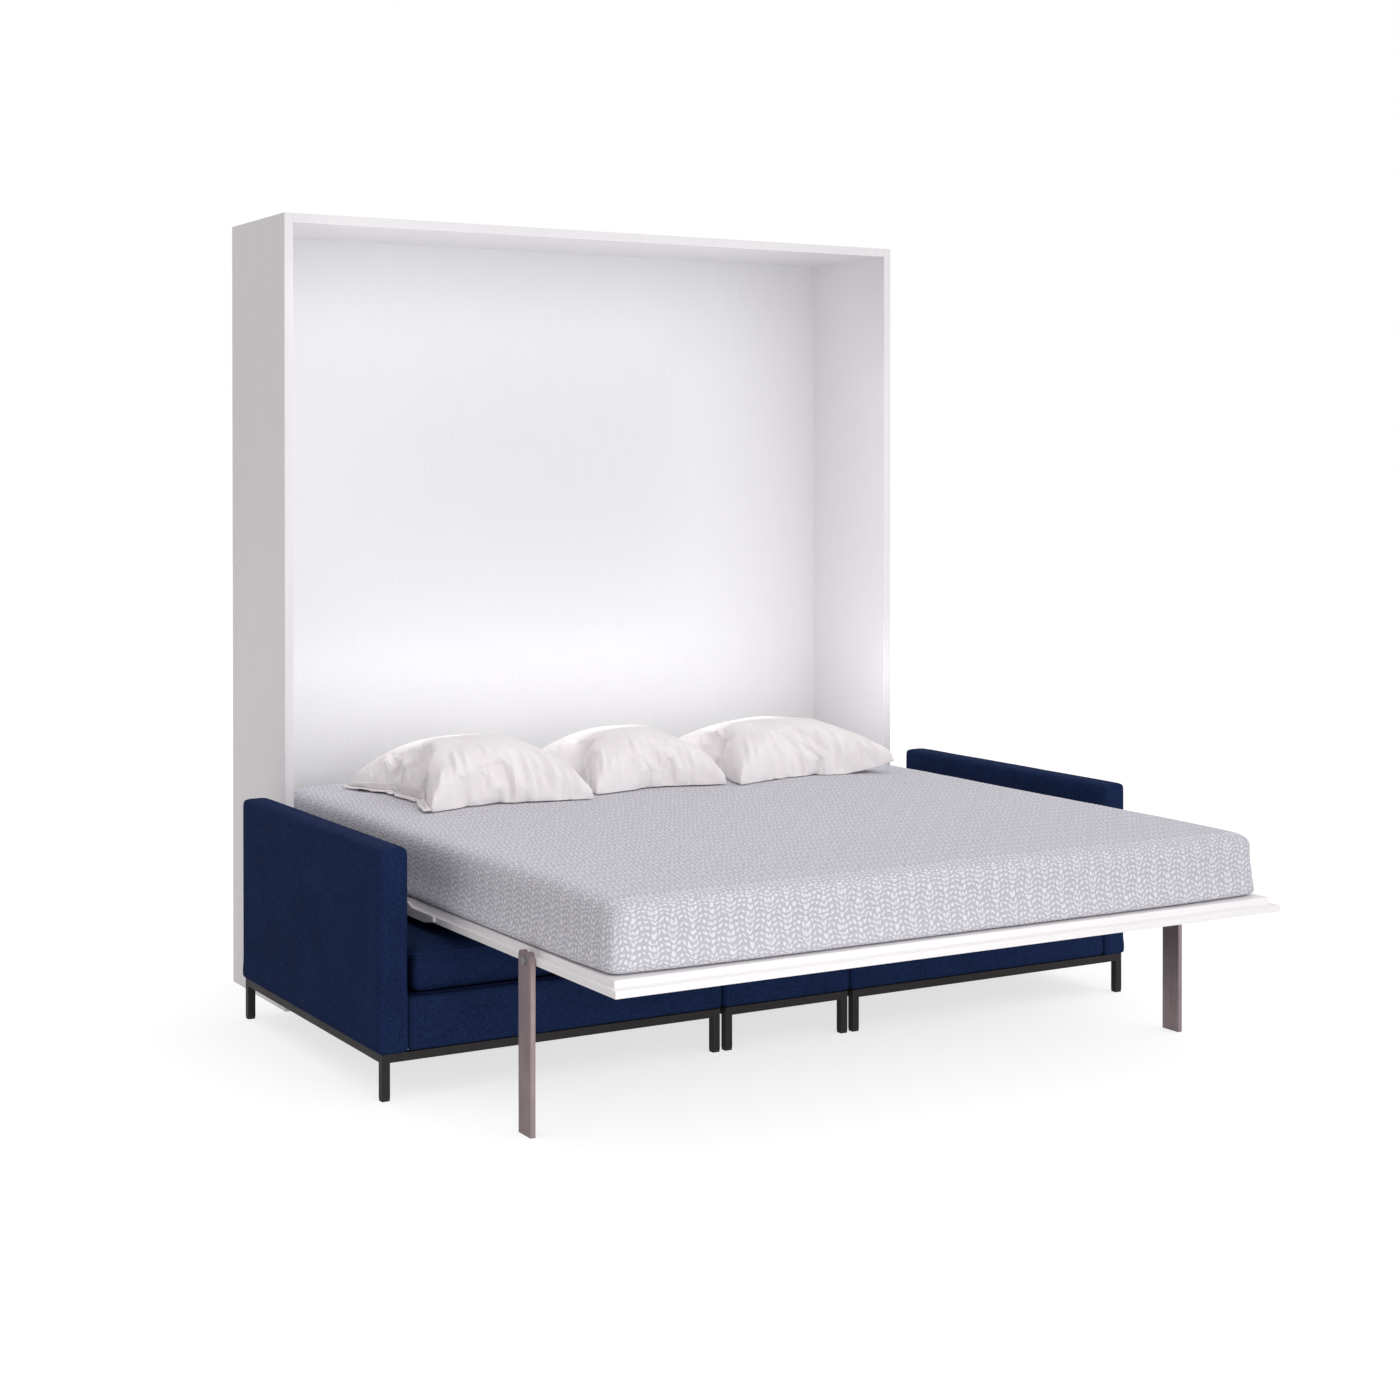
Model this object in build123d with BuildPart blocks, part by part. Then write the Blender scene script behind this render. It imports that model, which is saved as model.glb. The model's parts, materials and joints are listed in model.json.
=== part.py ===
from build123d import *

import math
import os

# A fold-up wall bed with a sofa under it, in millimetres.
# X runs to the right, -Y is the front, +Y is the wall and Z is up. The origin is on the floor, at the
# middle of the whole object's outline. Distances called "wall" are measured from the wall to the front.

# ---- driving dimensions ------------------------------------------------------------------------------
FOOT_END = 2172.0           # wall to the foot end of the open bed, the whole depth

CABINET_WIDTH = 1980.0
CABINET_HEIGHT = 2145.0
CABINET_DEPTH = 425.0
BOARD = 25.0                # sides and top
BOTTOM_BOARD = 16.0
BACK_GAP = 9.0              # wall to the rear of the back panel
BACK_BOARD = 16.0

PIVOT_WALL = 402.0          # the pin that the bed turns on
PIVOT_HEIGHT = 345.0

PANEL_WIDTH = 1845.0        # the lower layer of the bed panel
PANEL_LAYER = 16.0
PANEL_BOTTOM = 374.0
PANEL_HEAD = 80.0
DECK_WIDTH = 1821.0         # the upper layer
DECK_FOOT = 2145.0
DECK_RAIL = 90.0
SLAT_COUNT = 13
SLAT_WIDTH = 70.0

MATTRESS_WIDTH = 1800.0
MATTRESS_LENGTH = 2000.0
MATTRESS_HEIGHT = 160.0
MATTRESS_HEAD = 114.0
PILLOW_HEIGHT = 146.0

ARM_PLATE = 6.0             # the lift arm
LIFT_ARM_END = 1266.0
LIFT_ARM_BOTTOM = 369.0
LIFT_ARM_TOP = 402.0
LIFT_TAIL_TOP = 391.0       # the arm narrows to a strip along the panel's lower edge
LIFT_TAIL_START = 1140.0
LIFT_TAIL_SLOPE = 30.0
LIFT_TIP_LENGTH = 52.0      # the strip's end is cut at a slant from below
LIFT_TIP_RISE = 9.0
LIFT_ARM_LOBE = 22.0        # radius round the pivot and the strut hole
STRUT_LEVER = 100.0
PIN_RADIUS = 8.0
BUSH_RADIUS = 11.0
RUNNING_CLEARANCE = 0.05

STRUT_ANCHOR_WALL = 60.0
STRUT_ANCHOR_HEIGHT = 535.0
STRUT_X = 945.0
STRUT_CYLINDER_RADIUS = 14.0
STRUT_ROD_RADIUS = 7.0
STRUT_EYE_RADIUS = 12.0
STRUT_EYE_WIDTH = 12.0
STRUT_STUD_RADIUS = 5.0

LEG_WALL = 1778.0
LEG_PIVOT_HEIGHT = 382.0
LEG_WIDTH = 60.0
LEG_PLATE = 12.0
LEG_TOP = 403.0
LEG_BOLT_RADIUS = 5.0
WASHER = 1.9

SOFA_HALF_WIDTH = 1113.0
SOFA_BACK = 430.0
SOFA_FRONT = 1386.0
SOFA_ARM = 73.0
SOFA_ARM_TOP = 583.0
SOFA_BOTTOM = 108.0
SEAT_BOTTOM = 235.0
SEAT_TOP = 347.0
SECTION_JOINT = 192.0       # x of the joints between the three sections
TUBE = 20.0
TUBE_WALL = 2.0
FRAME_INSET = 8.0           # from a section's outline to its tube frame
GLIDE = 6.0

# ---- worked out from the driving dimensions ----------------------------------------------------------
SIDE_INNER = CABINET_WIDTH / 2 - BOARD
PANEL_EDGE = PANEL_WIDTH / 2
PANEL_TOP = PANEL_BOTTOM + PANEL_LAYER
DECK_TOP = PANEL_TOP + PANEL_LAYER
BACK_FACE = BACK_GAP + BACK_BOARD
MATTRESS_TOP = DECK_TOP + MATTRESS_HEIGHT
SOFA_ARM_INNER = SOFA_HALF_WIDTH - SOFA_ARM
RAIL_TOP = SOFA_BOTTOM
RAIL_BOTTOM = RAIL_TOP - TUBE
ARM_OUTER = PANEL_EDGE + ARM_PLATE
PLATE_THICKNESS = 5.0
PLATE_FACE = SIDE_INNER - PLATE_THICKNESS
SCREW_Z = PANEL_BOTTOM + PANEL_LAYER / 2
LIFT_SCREW_WALLS = [470.0 + 150.0 * i for i in range(5)]
DOWEL_WALLS = (60.0, 212.5, 365.0)
SIDES = ((-1, "left"), (1, "right"))
SECTIONS = (
    ("left", -SOFA_HALF_WIDTH, -SECTION_JOINT),
    ("middle", -SECTION_JOINT, SECTION_JOINT),
    ("right", SECTION_JOINT, SOFA_HALF_WIDTH),
)


def y_at(wall):
    """The Y of a point that is this far from the wall."""
    return FOOT_END / 2 - wall


def save(piece, name):
    piece.part.label = name
    export_step(piece.part, f"parts/{name}.step")


def spread(a, b):
    """Middle and size of a span between two values."""
    return (a + b) / 2, abs(b - a)


def block(x_span, wall_span, z_span):
    """A plain board between two X, two distances from the wall and two heights."""
    x_mid, x_size = spread(*x_span)
    wall_mid, wall_size = spread(*wall_span)
    z_mid, z_size = spread(*z_span)
    with BuildPart() as board:
        with Locations((x_mid, y_at(wall_mid), z_mid)):
            Box(x_size, wall_size, z_size)
    return board


def rod_x(x_span, wall, z, radius, mode=Mode.ADD):
    """A round bar or hole along X, inside the part being built."""
    x_mid, length = spread(*x_span)
    with Locations(Location((x_mid, y_at(wall), z), (0, 90, 0))):
        Cylinder(radius, length, mode=mode)


def rod_y(x, wall_span, z, radius, mode=Mode.ADD):
    """A round bar or hole along Y, inside the part being built."""
    wall_mid, length = spread(*wall_span)
    with Locations(Location((x, y_at(wall_mid), z), (90, 0, 0))):
        Cylinder(radius, length, mode=mode)


def rod_z(x, wall, z_span, radius, mode=Mode.ADD):
    """A round bar or hole along Z, inside the part being built."""
    z_mid, length = spread(*z_span)
    with Locations((x, y_at(wall), z_mid)):
        Cylinder(radius, length, mode=mode)


# ---- cabinet -----------------------------------------------------------------------------------------
DOWEL_RADIUS = 4.0
DOWEL_IN_SIDE = 16.0
DOWEL_IN_BOARD = 24.0
DOWEL_ZS = (BOTTOM_BOARD / 2, CABINET_HEIGHT - BOARD / 2)
EDGE_ROUND = 1.5

PIVOT_PLATE_WALLS = (342.0, 422.0)
PIVOT_PLATE_ZS = (275.0, 415.0)
PIVOT_BOLTS = [(wall, z) for wall in (356.0, 408.0) for z in (289.0, 401.0)]
PIVOT_BOLT_RADIUS = 3.0
PIVOT_BOLT_DEPTH = 20.0

STRUT_PLATE = 50.0
STRUT_SCREW_RADIUS = 2.0
STRUT_SCREW_DEPTH = 18.0
STRUT_SCREWS = [(STRUT_ANCHOR_WALL, STRUT_ANCHOR_HEIGHT + dz) for dz in (-17.0, 17.0)]

LINK_SCREW_Z = 60.0
LINK_SCREW_RADIUS = 2.0
LINK_SCREW_DEPTH = 20.0
LINK_X = SIDE_INNER + BOARD / 2


def cabinet_side(side):
    """One tall side board, with the blind holes for dowels, plate bolts and screws."""
    x_inner = side * SIDE_INNER
    x_outer = side * CABINET_WIDTH / 2
    x_mid, _ = spread(x_inner, x_outer)
    with BuildPart() as board:
        with Locations((x_mid, y_at(CABINET_DEPTH / 2), CABINET_HEIGHT / 2)):
            Box(BOARD, CABINET_DEPTH, CABINET_HEIGHT)
        front_edges = board.edges().filter_by(Axis.Z).group_by(Axis.Y)[0]
        fillet(front_edges, EDGE_ROUND)
        for wall in DOWEL_WALLS:
            for z in DOWEL_ZS:
                rod_x((x_inner, x_inner + side * DOWEL_IN_SIDE), wall, z, DOWEL_RADIUS, Mode.SUBTRACT)
        for wall, z in PIVOT_BOLTS:
            bolt_end = x_inner + side * PIVOT_BOLT_DEPTH
            rod_x((x_inner, bolt_end), wall, z, PIVOT_BOLT_RADIUS, Mode.SUBTRACT)
        for wall, z in STRUT_SCREWS:
            screw_end = x_inner + side * STRUT_SCREW_DEPTH
            rod_x((x_inner, screw_end), wall, z, STRUT_SCREW_RADIUS, Mode.SUBTRACT)
        link_depth = (CABINET_DEPTH - LINK_SCREW_DEPTH, CABINET_DEPTH)
        rod_y(side * LINK_X, link_depth, LINK_SCREW_Z, LINK_SCREW_RADIUS, Mode.SUBTRACT)
    return board


BRACKET_X = 700.0
BRACKET_WIDTH = 160.0
BRACKET_DEPTH = 60.0
BRACKET_RISE = 40.0
BRACKET_PLATE = 4.0
BRACKET_HOLE_SPACING = 100.0
BRACKET_HOLE_RADIUS = 5.5
BRACKET_HOLE_RISE = 23.0
BRACKET_SCREW_WALL = 40.0
BRACKET_SCREW_RADIUS = 2.5
BRACKET_SCREW_DEPTH = 18.0


def bracket_screw_places():
    for side, _ in SIDES:
        for end in (-1, 1):
            yield side * BRACKET_X + end * BRACKET_HOLE_SPACING / 2


def cabinet_cross_board(z_span):
    """The top or the bottom board, which stands between the sides on dowels."""
    z_mid, thickness = spread(*z_span)
    with BuildPart() as board:
        with Locations((0, y_at(CABINET_DEPTH / 2), z_mid)):
            Box(2 * SIDE_INNER, CABINET_DEPTH, thickness)
        for side, _ in SIDES:
            for wall in DOWEL_WALLS:
                x_end = side * SIDE_INNER
                rod_x((x_end - side * DOWEL_IN_BOARD, x_end), wall, z_mid, DOWEL_RADIUS, Mode.SUBTRACT)
        if z_mid > CABINET_HEIGHT / 2:
            for x in bracket_screw_places():
                depth = (CABINET_HEIGHT - BRACKET_SCREW_DEPTH, CABINET_HEIGHT)
                rod_z(x, BRACKET_SCREW_WALL, depth, BRACKET_SCREW_RADIUS, Mode.SUBTRACT)
    return board


def corner_dowels():
    with BuildPart() as dowels:
        for side, _ in SIDES:
            for wall in DOWEL_WALLS:
                for z in DOWEL_ZS:
                    x_end = side * SIDE_INNER
                    span = (x_end - side * DOWEL_IN_BOARD, x_end + side * DOWEL_IN_SIDE)
                    rod_x(span, wall, z, DOWEL_RADIUS)
    return dowels


def wall_bracket(side):
    """A steel angle on the cabinet's top, with two bolt holes towards the wall."""
    x_mid = side * BRACKET_X
    with BuildPart() as bracket:
        with BuildSketch(Plane.YZ.offset(x_mid)):
            with BuildLine():
                Polyline(
                    (y_at(0), CABINET_HEIGHT),
                    (y_at(0), CABINET_HEIGHT + BRACKET_RISE),
                    (y_at(BRACKET_PLATE), CABINET_HEIGHT + BRACKET_RISE),
                    (y_at(BRACKET_PLATE), CABINET_HEIGHT + BRACKET_PLATE),
                    (y_at(BRACKET_DEPTH), CABINET_HEIGHT + BRACKET_PLATE),
                    (y_at(BRACKET_DEPTH), CABINET_HEIGHT),
                    close=True,
                )
            make_face()
        extrude(amount=BRACKET_WIDTH / 2, both=True)
        for end in (-1, 1):
            x = x_mid + end * BRACKET_HOLE_SPACING / 2
            hole_z = CABINET_HEIGHT + BRACKET_HOLE_RISE
            rod_y(x, (0, BRACKET_PLATE), hole_z, BRACKET_HOLE_RADIUS, Mode.SUBTRACT)
            plate_span = (CABINET_HEIGHT, CABINET_HEIGHT + BRACKET_PLATE)
            rod_z(x, BRACKET_SCREW_WALL, plate_span, BRACKET_SCREW_RADIUS, Mode.SUBTRACT)
    return bracket


def bracket_screws():
    """Pan-head screws that hold the wall brackets down on the top board."""
    plate_top = CABINET_HEIGHT + BRACKET_PLATE
    with BuildPart() as screws:
        for x in bracket_screw_places():
            shank = (CABINET_HEIGHT - BRACKET_SCREW_DEPTH, plate_top)
            rod_z(x, BRACKET_SCREW_WALL, shank, BRACKET_SCREW_RADIUS)
            rod_z(x, BRACKET_SCREW_WALL, (plate_top, plate_top + 2.5), 5.0)
    return screws


# ---- pivots and struts -------------------------------------------------------------------------------
PIN_END = PANEL_EDGE - 4.0
PIN_COLLAR = 3.0
PIN_COLLAR_RADIUS = 12.0


def pivot_plate(side):
    """A steel plate on the cabinet's side that carries the pivot pin."""
    wall_mid, wall_size = spread(*PIVOT_PLATE_WALLS)
    z_mid, z_size = spread(*PIVOT_PLATE_ZS)
    x_span = (side * PLATE_FACE, side * SIDE_INNER)
    x_mid, _ = spread(*x_span)
    with BuildPart() as plate:
        with Locations((x_mid, y_at(wall_mid), z_mid)):
            Box(PLATE_THICKNESS, wall_size, z_size)
        fillet(plate.edges().filter_by(Axis.X), 8.0)
        rod_x(x_span, PIVOT_WALL, PIVOT_HEIGHT, PIN_RADIUS, Mode.SUBTRACT)
        for wall, z in PIVOT_BOLTS:
            rod_x(x_span, wall, z, PIVOT_BOLT_RADIUS, Mode.SUBTRACT)
    return plate


def pivot_pin(side):
    """The pin, pressed into its plate, with a collar that keeps the lift arm on."""
    x_collar = side * PIN_END
    with BuildPart() as pin:
        rod_x((x_collar, side * SIDE_INNER), PIVOT_WALL, PIVOT_HEIGHT, PIN_RADIUS)
        rod_x((x_collar, x_collar + side * PIN_COLLAR), PIVOT_WALL, PIVOT_HEIGHT, PIN_COLLAR_RADIUS)
    return pin


def side_screws(places, shank_radius, depth, head_radius, head_height):
    """Screws through a plate on each cabinet side, heads towards the bed."""
    with BuildPart() as screws:
        for side, _ in SIDES:
            for wall, z in places:
                face = side * PLATE_FACE
                rod_x((face, side * (SIDE_INNER + depth)), wall, z, shank_radius)
                rod_x((face - side * head_height, face), wall, z, head_radius)
    return screws


def strut_bracket(side):
    """A small plate on the cabinet's side with the stud that the strut's cylinder hangs on."""
    x_mid, _ = spread(side * PLATE_FACE, side * SIDE_INNER)
    stud_end = STRUT_X - STRUT_EYE_WIDTH / 2 - 2.0
    with BuildPart() as bracket:
        with Locations((x_mid, y_at(STRUT_ANCHOR_WALL), STRUT_ANCHOR_HEIGHT)):
            Box(PLATE_THICKNESS, STRUT_PLATE, STRUT_PLATE)
        fillet(bracket.edges().filter_by(Axis.X), 6.0)
        for wall, z in STRUT_SCREWS:
            plate_span = (side * PLATE_FACE, side * SIDE_INNER)
            rod_x(plate_span, wall, z, STRUT_SCREW_RADIUS, Mode.SUBTRACT)
        stud_span = (side * stud_end, side * PLATE_FACE)
        rod_x(stud_span, STRUT_ANCHOR_WALL, STRUT_ANCHOR_HEIGHT, STRUT_STUD_RADIUS)
    return bracket


STRUT_PIN_WALL = PIVOT_WALL - STRUT_LEVER
STRUT_RUN = STRUT_PIN_WALL - STRUT_ANCHOR_WALL
STRUT_DROP = STRUT_ANCHOR_HEIGHT - PIVOT_HEIGHT
STRUT_LENGTH = math.hypot(STRUT_RUN, STRUT_DROP)
CYLINDER_START = 18.0
CYLINDER_END = 240.0
CYLINDER_WALL = 2.0
CYLINDER_GUIDE = 10.0
PISTON_START = 70.0
PISTON_LENGTH = 10.0


def strut_plane(side):
    """A plane at the strut's upper stud whose normal runs down the strut to the lift arm."""
    direction = (0, -STRUT_RUN, -STRUT_DROP)
    origin = (side * STRUT_X, y_at(STRUT_ANCHOR_WALL), STRUT_ANCHOR_HEIGHT)
    return Plane(origin=origin, x_dir=(1, 0, 0), z_dir=direction)


def along(plane, start, end, radius, mode=Mode.ADD):
    """A round bar on the plane's normal, between two distances from its origin."""
    with Locations(plane.offset((start + end) / 2).location):
        Cylinder(radius, end - start, mode=mode)


def strut_cylinder(side):
    """The gas strut's tube: an eye, a neck, and a hollow body with the rod's guide at its end."""
    plane = strut_plane(side)
    x_span = (side * STRUT_X - STRUT_EYE_WIDTH / 2, side * STRUT_X + STRUT_EYE_WIDTH / 2)
    chamber_start = CYLINDER_START + 8.0
    with BuildPart() as cylinder:
        rod_x(x_span, STRUT_ANCHOR_WALL, STRUT_ANCHOR_HEIGHT, STRUT_EYE_RADIUS)
        along(plane, 0, CYLINDER_START, 5.5)
        along(plane, CYLINDER_START, CYLINDER_END, STRUT_CYLINDER_RADIUS)
        chamber_radius = STRUT_CYLINDER_RADIUS - CYLINDER_WALL
        along(plane, chamber_start, CYLINDER_END - CYLINDER_GUIDE, chamber_radius, Mode.SUBTRACT)
        guide_radius = STRUT_ROD_RADIUS + RUNNING_CLEARANCE
        along(plane, chamber_start, CYLINDER_END, guide_radius, Mode.SUBTRACT)
        eye_radius = STRUT_STUD_RADIUS + RUNNING_CLEARANCE
        rod_x(x_span, STRUT_ANCHOR_WALL, STRUT_ANCHOR_HEIGHT, eye_radius, Mode.SUBTRACT)
    return cylinder


def strut_rod(side):
    """The strut's rod with its piston, and an eye with the stud that meets the lift arm."""
    plane = strut_plane(side)
    stud_tip = side * (ARM_OUTER + 1.0)
    eye_span = (side * STRUT_X - STRUT_EYE_WIDTH / 2, side * STRUT_X + STRUT_EYE_WIDTH / 2)
    piston_radius = STRUT_CYLINDER_RADIUS - CYLINDER_WALL - 0.1
    with BuildPart() as rod:
        along(plane, PISTON_START, STRUT_LENGTH, STRUT_ROD_RADIUS)
        along(plane, PISTON_START, PISTON_START + PISTON_LENGTH, piston_radius)
        rod_x(eye_span, STRUT_PIN_WALL, PIVOT_HEIGHT, STRUT_EYE_RADIUS)
        stud_span = (stud_tip, side * STRUT_X)
        rod_x(stud_span, STRUT_PIN_WALL, PIVOT_HEIGHT, STRUT_STUD_RADIUS)
    return rod


# ---- bed ---------------------------------------------------------------------------------------------
LIFT_SCREW_RADIUS = 3.0
LIFT_SCREW_DEPTH = 36.0
LIFT_SCREW_HEAD = 2.6
LEG_THREAD_RADIUS = 4.0
LEG_THREAD_DEPTH = 45.0


def door_panel():
    """The lower layer of the bed panel, which closes the cabinet when the bed is up."""
    wall_mid, length = spread(PANEL_HEAD, FOOT_END)
    with BuildPart() as panel:
        with Locations((0, y_at(wall_mid), PANEL_BOTTOM + PANEL_LAYER / 2)):
            Box(PANEL_WIDTH, length, PANEL_LAYER)
        fillet(panel.edges().group_by(Axis.Z)[0], 1.0)
        fillet(panel.edges().group_by(Axis.Z)[-1], 1.0)
        for side, _ in SIDES:
            edge = side * PANEL_EDGE
            for wall in LIFT_SCREW_WALLS:
                screw_span = (edge - side * LIFT_SCREW_DEPTH, edge)
                rod_x(screw_span, wall, SCREW_Z, LIFT_SCREW_RADIUS, Mode.SUBTRACT)
            thread_span = (edge - side * LEG_THREAD_DEPTH, edge)
            rod_x(thread_span, LEG_WALL, LEG_PIVOT_HEIGHT, LEG_THREAD_RADIUS, Mode.SUBTRACT)
    return panel


def deck_slats():
    """Cross slats that fill the upper layer between its side rails."""
    first = PANEL_HEAD + DECK_RAIL
    last = DECK_FOOT - DECK_RAIL
    pitch = (last - first) / SLAT_COUNT
    inner = DECK_WIDTH / 2 - DECK_RAIL
    with BuildPart() as slats:
        for i in range(SLAT_COUNT):
            wall = first + pitch * (i + 0.5)
            with Locations((0, y_at(wall), PANEL_TOP + PANEL_LAYER / 2)):
                Box(2 * inner, SLAT_WIDTH, PANEL_LAYER)
    return slats


def lift_arm(side):
    """A steel arm along the panel's edge: it turns on the pivot pin and takes the strut's push."""
    tip_start = LIFT_ARM_END - LIFT_TIP_LENGTH
    with BuildPart() as arm:
        with BuildSketch(Plane.YZ.offset(side * (PANEL_EDGE + ARM_PLATE / 2))):
            with BuildLine():
                Polyline(
                    (y_at(PIVOT_WALL - 60.0), LIFT_ARM_TOP),
                    (y_at(LIFT_TAIL_START - LIFT_TAIL_SLOPE), LIFT_ARM_TOP),
                    (y_at(LIFT_TAIL_START), LIFT_TAIL_TOP),
                    (y_at(LIFT_ARM_END), LIFT_TAIL_TOP),
                    (y_at(LIFT_ARM_END), LIFT_ARM_BOTTOM + LIFT_TIP_RISE),
                    (y_at(tip_start), LIFT_ARM_BOTTOM),
                    (y_at(PIVOT_WALL + LIFT_ARM_LOBE), LIFT_ARM_BOTTOM),
                    (y_at(PIVOT_WALL + LIFT_ARM_LOBE), PIVOT_HEIGHT),
                    (y_at(PIVOT_WALL - 60.0), PIVOT_HEIGHT),
                    close=True,
                )
            make_face()
            with Locations((y_at(PIVOT_WALL - STRUT_LEVER / 2), PIVOT_HEIGHT)):
                SlotCenterToCenter(STRUT_LEVER, 2 * LIFT_ARM_LOBE)
            with Locations((y_at(PIVOT_WALL), PIVOT_HEIGHT)):
                Circle(BUSH_RADIUS, mode=Mode.SUBTRACT)
            with Locations((y_at(STRUT_PIN_WALL), PIVOT_HEIGHT)):
                Circle(STRUT_STUD_RADIUS + 0.5, mode=Mode.SUBTRACT)
            for wall in LIFT_SCREW_WALLS:
                with Locations((y_at(wall), SCREW_Z)):
                    Circle(LIFT_SCREW_RADIUS, mode=Mode.SUBTRACT)
        extrude(amount=ARM_PLATE / 2, both=True)
    return arm


def pivot_bush(side):
    """A flanged bush pressed into the lift arm, which runs on the pivot pin."""
    inner = side * PANEL_EDGE
    outer = side * ARM_OUTER
    flange = outer + side * 1.5
    with BuildPart() as bush:
        rod_x((inner, outer), PIVOT_WALL, PIVOT_HEIGHT, BUSH_RADIUS)
        rod_x((outer, flange), PIVOT_WALL, PIVOT_HEIGHT, BUSH_RADIUS + 3.0)
        bore = PIN_RADIUS + RUNNING_CLEARANCE
        rod_x((inner, flange), PIVOT_WALL, PIVOT_HEIGHT, bore, Mode.SUBTRACT)
    return bush


def lift_arm_screws():
    with BuildPart() as screws:
        for side, _ in SIDES:
            face = side * ARM_OUTER
            tip = side * (PANEL_EDGE - LIFT_SCREW_DEPTH)
            for wall in LIFT_SCREW_WALLS:
                rod_x((tip, face), wall, SCREW_Z, LIFT_SCREW_RADIUS)
                rod_x((face, face + side * LIFT_SCREW_HEAD), wall, SCREW_Z, 6.0)
    return screws


MATTRESS_CORNER = 70.0
MATTRESS_EDGE = 38.0


def mattress():
    wall_mid = MATTRESS_HEAD + MATTRESS_LENGTH / 2
    with BuildPart() as pad:
        with BuildSketch(Plane.XY.offset(DECK_TOP)):
            with Locations((0, y_at(wall_mid))):
                RectangleRounded(MATTRESS_WIDTH, MATTRESS_LENGTH, MATTRESS_CORNER)
        extrude(amount=MATTRESS_HEIGHT)
        fillet(pad.edges().group_by(Axis.Z)[0], MATTRESS_EDGE)
        fillet(pad.edges().group_by(Axis.Z)[-1], MATTRESS_EDGE)
    return pad


# x span and wall span of each pillow
PILLOWS = (
    ("left", (-772.0, -252.0), (266.0, 816.0)),
    ("middle", (-214.0, 213.0), (262.0, 742.0)),
    ("right", (222.0, 766.0), (262.0, 776.0)),
)
PILLOW_CORNER = 80.0
PILLOW_TOP_EDGE = 70.0


def pillow(x_span, wall_span):
    x_mid, x_size = spread(*x_span)
    wall_mid, wall_size = spread(*wall_span)
    with BuildPart() as cushion:
        with BuildSketch(Plane.XY.offset(MATTRESS_TOP)):
            with Locations((x_mid, y_at(wall_mid))):
                RectangleRounded(x_size, wall_size, PILLOW_CORNER)
        extrude(amount=PILLOW_HEIGHT)
        fillet(cushion.edges().group_by(Axis.Z)[-1], PILLOW_TOP_EDGE)
    return cushion


# ---- legs of the bed ---------------------------------------------------------------------------------
LEG_INNER = PANEL_EDGE + WASHER + 0.1
LEG_NOTCH_RADIUS = 9.0
LEG_HUMP_RADIUS = 12.0


def bed_leg(side):
    """A flat bar that hangs from its bolt; its top is cut to two rounded humps."""
    x_mid = side * (LEG_INNER + LEG_PLATE / 2)
    with BuildPart() as leg:
        with BuildSketch(Plane.YZ.offset(x_mid)):
            with Locations((y_at(LEG_WALL), LEG_TOP / 2)):
                bar = Rectangle(LEG_WIDTH, LEG_TOP)
            fillet(bar.vertices().group_by(Axis.Y)[-1], LEG_HUMP_RADIUS)
            with Locations((y_at(LEG_WALL), LEG_TOP)):
                Circle(LEG_NOTCH_RADIUS, mode=Mode.SUBTRACT)
            with Locations((y_at(LEG_WALL), LEG_PIVOT_HEIGHT)):
                Circle(LEG_BOLT_RADIUS + RUNNING_CLEARANCE, mode=Mode.SUBTRACT)
        extrude(amount=LEG_PLATE / 2, both=True)
    return leg


def leg_bolts():
    """Shoulder bolts that the legs swing on."""
    with BuildPart() as bolts:
        for side, _ in SIDES:
            edge = side * PANEL_EDGE
            shoulder_end = side * (LEG_INNER + LEG_PLATE + 0.3)
            head_end = shoulder_end + side * 4.5
            tip = edge - side * LEG_THREAD_DEPTH
            rod_x((tip, edge), LEG_WALL, LEG_PIVOT_HEIGHT, LEG_THREAD_RADIUS)
            rod_x((edge, shoulder_end), LEG_WALL, LEG_PIVOT_HEIGHT, LEG_BOLT_RADIUS)
            rod_x((shoulder_end, head_end), LEG_WALL, LEG_PIVOT_HEIGHT, 9.0)
    return bolts


def leg_washers():
    with BuildPart() as washers:
        for side, _ in SIDES:
            edge = side * PANEL_EDGE
            span = (edge, edge + side * WASHER)
            rod_x(span, LEG_WALL, LEG_PIVOT_HEIGHT, 8.0)
            rod_x(span, LEG_WALL, LEG_PIVOT_HEIGHT, LEG_BOLT_RADIUS, Mode.SUBTRACT)
    return washers


# ---- sofa --------------------------------------------------------------------------------------------
SECTION_GAP = 2.0           # between the upholstery of two sections
BASE_BACK = 440.0
SEAT_BACK = 440.0
SEAT_FRONT = 1378.0
SEAT_SIDE_GAP = 7.0
SOFA_ROUND = 12.0
SEAT_ROUND = 24.0
ARM_BOLT_RADIUS = 4.0
ARM_BOLT_DEPTH = 22.0
ARM_BOLTS = ((600.0, 170.0), (1200.0, 170.0))


def soft_block(x_span, wall_span, z_span, rounding):
    x_mid, x_size = spread(*x_span)
    wall_mid, wall_size = spread(*wall_span)
    z_mid, z_size = spread(*z_span)
    with BuildPart() as pad:
        with Locations((x_mid, y_at(wall_mid), z_mid)):
            Box(x_size, wall_size, z_size)
        fillet(pad.edges(), rounding)
    return pad


def section_upholstery_span(x0, x1):
    """A section's base, between the arms and the joints with its neighbours."""
    low = -SOFA_ARM_INNER if x0 == -SOFA_HALF_WIDTH else x0 + SECTION_GAP / 2
    high = SOFA_ARM_INNER if x1 == SOFA_HALF_WIDTH else x1 - SECTION_GAP / 2
    return low, high


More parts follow.
